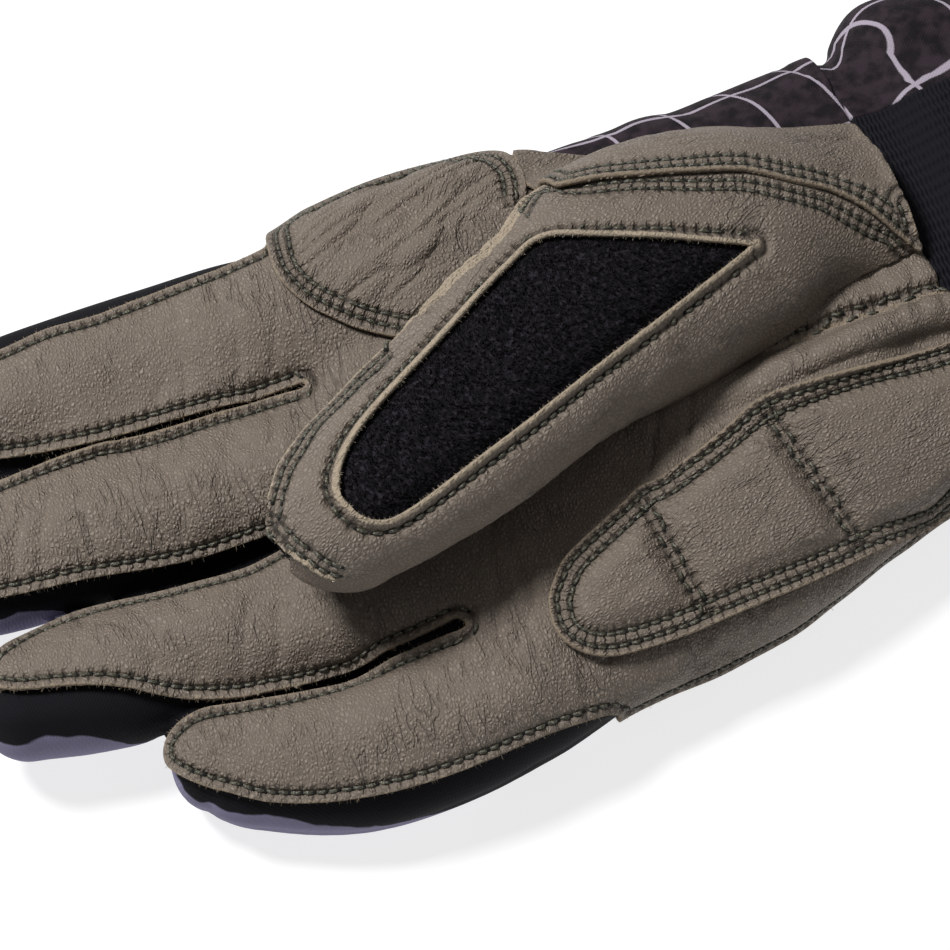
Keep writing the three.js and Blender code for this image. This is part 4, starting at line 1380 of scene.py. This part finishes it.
WEB_OUTLINE = rounded([
    (-19.6, 53.6), (-19.8, 47.8), (-17.3, 41.5), (-13, 37), (-7.7, 32.7), (0, 28), (12, 27), (24, 36),
    (29, 46), (30.5, 53), (28, 59.5), (20, 64), (8, 66), (-6, 66), (-16, 62), (-18.8, 57.8),
])
WEB_BOX = ((-24, 20, 14), (38, 70, 38))
WEB_STEP = 0.42
WEB_FROM = 23.5
WEB_ROWS = (1.9, 4.0)
PATCH_LIFT = 0.25


def patch_distance(points):
    return leather_distance(points) - LEATHER - PATCH_LIFT


web_points, web_triangles = skin(patch_distance, *WEB_BOX, WEB_STEP)
web_field = np.maximum(beside(WEB_OUTLINE, web_points), WEB_FROM - web_points[:, 2])
web_field = np.maximum(web_field, 0.2 - thumb_distance(web_points))
web_points, web_triangles = clipped(web_points, web_triangles, web_field)
web_points = smoothed_border(patch_distance, web_points, web_triangles)
edge, along = edge_distances(web_points, web_triangles, lambda p: thumb_distance(p) > 2)
normals = normals_of(web_points, web_triangles)
by_thumb = 1 - smooth(thumb_distance(web_points), 2, 16)
rise = -2.2 * creases(web_points, 3.6, 24, -58, 72) * by_thumb - 1.1 * creases(web_points, 2.6, 18, -72, 73)
rise += 0.7 * noise(web_points / 9, 75) - 0.8 * creases(web_points, 4.2, 20, -44, 74)
rise *= smooth(edge, 2.5, 6)
rise -= 1.6 * (1 - smooth(thumb_distance(web_points), 0, 5))
rise += 0.3 * (1 - smooth(edge, 0.4, 1.8))
rise = grooved(rise, edge, WEB_ROWS)
web_points = web_points + normals * rise[:, None]
web_grain = leather_material("web_leather", 40, edge_rows=WEB_ROWS)
web_patch = panel(
    "web_patch_leather", "web_patch", web_points, web_triangles, LEATHER,
    [web_grain, raw_edge], leather_marks(edge, along, 0.2 - edge),
)
web_rows = [row_places(web_points, web_triangles, edge, along, row) for row in WEB_ROWS]
stitches_object("web_stitches", web_rows, 5)


# Side leather
# The leather that joins the thumb to the wrist. Its raw edge lies over the thumb leather, with two rows of
# stitches beside it, and its upper edge is turned under against the printed fabric.

SIDE_SEAM = [
    (31.5, 39), (35, 37.8), (39.4, 36.7), (46.3, 34.2), (52, 32.6), (56.9, 31.1), (61, 30), (64.9, 28.8),
    (69, 26.8), (72.5, 25), (76, 23.6), (79.6, 22), (83, 19.6), (85.6, 17.2), (89.5, 12.6), (93.5, 8),
]
SIDE_OUTLINE = [
    *SIDE_SEAM, (93.5, 39.5), (88, 40.8), (77.2, 43.2), (66.2, 45.2), (55.8, 48.6), (46, 52.2), (36, 56),
    (31, 58), (30, 50),
]
SIDE_BOX = ((26, 4, 10), (99, 66, 56))
SIDE_STEP = 0.5
SIDE_FROM = 14
SIDE_BLEND = 5
SIDE_ROWS = (1.5, 3.7)


def side_distance(points):
    return soft_min(leather_distance(points), thumb_distance(points), SIDE_BLEND) - PATCH_LIFT - LEATHER


side_points, side_triangles = skin(side_distance, *SIDE_BOX, SIDE_STEP)
side_field = np.maximum(beside(SIDE_OUTLINE, side_points), SIDE_FROM - side_points[:, 2])
side_points, side_triangles = clipped(side_points, side_triangles, side_field)
side_points = smoothed_border(side_distance, side_points, side_triangles, 8)


def on_side_seam(p):
    corners = np.array(SIDE_SEAM)
    return (np.linalg.norm(p[:, None, :2] - corners[None], axis=2).min(1) < 6) & (p[:, 2] > 33)


edge, along = edge_distances(side_points, side_triangles, on_side_seam)
rim, _ = edge_distances(side_points, side_triangles)
normals = normals_of(side_points, side_triangles)
rise = 0.3 * noise(side_points / 9, 82) - 0.3 * creases(side_points, 2.4, 8, 70, 81) * smooth(edge, 3, 6)
rise -= 1.2 * creases(side_points, 7, 30, 85, 83) * smooth(side_points[:, 0], 72, 88) * smooth(rim, 0, 3)
rise += 0.25 * (1 - smooth(rim, 0.4, 1.4))
rise = grooved(rise, edge, SIDE_ROWS)
side_points = side_points + normals * rise[:, None]
side_grain = leather_material("side_leather", 70, edge_rows=SIDE_ROWS)
side_leather = panel(
    "side_leather_sheet", "side_leather", side_points, side_triangles, LEATHER,
    [side_grain, raw_edge], leather_marks(edge, along, 0.45 - edge),
)
side_rows = [row_places(side_points, side_triangles, edge, along, row) for row in SIDE_ROWS]
stitches_object("side_stitches", side_rows, 6)


# Heel pad
# Foam under a leather cover on the heel of the hand, sewn to the palm leather by two rows of stitches round
# its edge, and across it by two double rows that part it into three cells.

PAD_OUTLINE = rounded([
    (2.3, -29.5), (5.3, -25.6), (8.6, -22.8), (14.8, -20.1), (22.2, -17.1), (25.6, -15.4), (30.1, -15.1),
    (36.1, -13.5), (44.6, -10.9), (52.3, -8.5), (61, -8.5), (74, -8.9), (93.5, -9.5), (93.6, -9.5),
    (93.6, -31), (93.5, -31), (75, -36.5), (62.2, -38.9), (51.3, -40.8), (38.6, -42.1), (26.4, -42.7),
    (14.7, -42.4), (8.5, -41.8), (4.8, -40.2), (2.2, -37.3), (1.4, -33.5),
])
PAD_CHANNELS = [((25.3, -15.7), (26.8, -30.1), (28.8, -43)), ((52.7, -8.6), (56.5, -25), (60.8, -39.6))]
PAD_BOX = ((-2, -48, 8), (98, -4, 36))
PAD_STEP = 0.5
PAD_FROM = 11
PAD_ROWS = (1.4, 3.7)
CHANNEL_ROW = 0.85
PAD_RISE = 1.9
PAD_LEAST = 0.5


def pad_base(points):
    return leather_distance(points) - 0.2


pad_points, pad_triangles = skin(pad_base, *PAD_BOX, PAD_STEP)
pad_field = np.maximum(beside(PAD_OUTLINE, pad_points), PAD_FROM - pad_points[:, 2])
pad_points, pad_triangles = clipped(pad_points, pad_triangles, pad_field)
pad_points = smoothed_border(pad_base, pad_points, pad_triangles, 8)
edge, along = edge_distances(pad_points, pad_triangles, lambda p: p[:, 0] < 92)
channels = [to_line(line, pad_points) for line in PAD_CHANNELS]
(to_first, first_at), (to_second, second_at) = channels
seam = np.minimum(to_first, to_second)
seam_at = np.where(to_first < to_second, first_at, second_at + LINE_STITCHES * STITCH_PITCH)
seam = np.where(edge > PAD_ROWS[0] - 0.3, seam, FAR)
normals = normals_of(pad_points, pad_triangles)
filled = smooth(edge, PAD_ROWS[1], PAD_ROWS[1] + 4.5) * smooth(seam, CHANNEL_ROW + 0.2, CHANNEL_ROW + 4.5)
pad_height = LEATHER + PAD_RISE * filled + 0.25 * (1 - smooth(edge, 0.4, 1.4))
pad_height -= 0.25 * creases(pad_points, 2.6, 7, 80, 91) * filled
pad_height = grooved(grooved(pad_height, edge, PAD_ROWS), seam, (CHANNEL_ROW,))
pad_height = np.maximum(pad_height, PAD_LEAST)
pad_points = pad_points + normals * pad_height[:, None]
pad_grain = leather_material("heel_leather", 78, edge_rows=PAD_ROWS, seam_rows=(CHANNEL_ROW,))
heel_pad = panel(
    "heel_pad_leather", "heel_pad", pad_points, pad_triangles, pad_height,
    [pad_grain, raw_edge], leather_marks(edge, along, 0.35 - edge, seam, seam_at),
)
pad_rows = [row_places(pad_points, pad_triangles, edge, along, row) for row in PAD_ROWS]
for distance, at in channels:
    inner = np.where(edge > PAD_ROWS[0], distance, FAR)
    pad_rows.append(row_places(pad_points, pad_triangles, inner, at, CHANNEL_ROW))
stitches_object("heel_pad_stitches", pad_rows, 7)


# Cuff
# The printed fabric runs on past the wrist as a flared sleeve, with a swell on its thumb side and shallow
# creases.

CUFF = {
    "square": 2.4, "straight": True,
    "sections": [
        (94.4, 14.6, 13.4, 47.4, 15.4), (101, 15, 13.2, 46.6, 14.8), (109, 16, 14.2, 50.5, 16.2),
        (120, 16, 14.4, 50, 16.4), (136, 16, 14.4, 50.5, 16.4), (150, 16, 14.4, 51.5, 16.4),
    ],
}
CUFF_WALL = 1.5
cuff_form = limb(**CUFF)


def cuff_distance(points):
    return -soft_min(-distance_to_limb(cuff_form, points), points[:, 2], FLOOR_BLEND)


# The cuff's two ends, and where its knit panel lies on the floor plan and how far down it reaches.
CUFF_BOX = ((90, -45, -1.2), (154, 76, 34))
CUFF_STEP = 1.0
CUFF_ENDS = (94.5, 150)
KNIT_OUTLINE = [(93, -24), (93, 42), (153, 42), (153, -24)]
KNIT_FROM = 14


def cuff_fields(points):
    """Past the cuff's ends, and off the knit panel: both negative on the knit."""
    past_ends = np.maximum(CUFF_ENDS[0] - points[:, 0], points[:, 0] - CUFF_ENDS[1])
    return past_ends, np.maximum(beside(KNIT_OUTLINE, points), KNIT_FROM - points[:, 2])


cuff_points, cuff_triangles = skin(cuff_distance, *CUFF_BOX, CUFF_STEP)
past_ends, off_knit = cuff_fields(cuff_points)
sleeve_points, sleeve_triangles = clipped(cuff_points, cuff_triangles, np.maximum(past_ends, -off_knit))
waves = 3.0 * smooth(sleeve_points[:, 1], 48, 58) * smooth(sleeve_points[:, 0], 97, 102)
waves -= 1.2 * creases(sleeve_points, 9, 26, 40, 101) * smooth(sleeve_points[:, 2], 4, 10)
sleeve_points = sleeve_points + normals_of(sleeve_points, sleeve_triangles) * waves[:, None]
cuff = panel(
    "cuff_sleeve", "cuff", sleeve_points, sleeve_triangles, CUFF_WALL,
    [printed_fabric], fabric_marks(sleeve_points),
)


# Knit panel of the cuff
# A panel of black ribbed knit on the palm side of the cuff lets it stretch over the hand.

KNIT_BOX = ((90, -30, 8), (154, 48, 34))
KNIT_STEP = 0.7
RIB_PITCH = 2.4
RIB_HALF = 0.35
knit_points, knit_triangles = skin(cuff_distance, *KNIT_BOX, KNIT_STEP)
knit_points, knit_triangles = clipped(knit_points, knit_triangles, np.maximum(*cuff_fields(knit_points)))
ribs = RIB_HALF * np.sin(2 * np.pi * knit_points[:, 1] / RIB_PITCH) - RIB_HALF
knit_points = knit_points + normals_of(knit_points, knit_triangles) * ribs[:, None]
black_knit, knit_tree, knit_shader = new_material("black_knit", 0.9, FABRIC_SHINE)
knit_shader.inputs["Base Color"].default_value = (0.0105, 0.0100, 0.0135, 1)
loops = texture(knit_tree, "Wave", place_in_mm(knit_tree), 0.35, Distortion=1)["Fac"]
add_bump(knit_tree, knit_shader, loops, 0.25)
knit = panel(
    "cuff_knit_panel", "cuff_knit", knit_points, knit_triangles, CUFF_WALL, [black_knit]
)
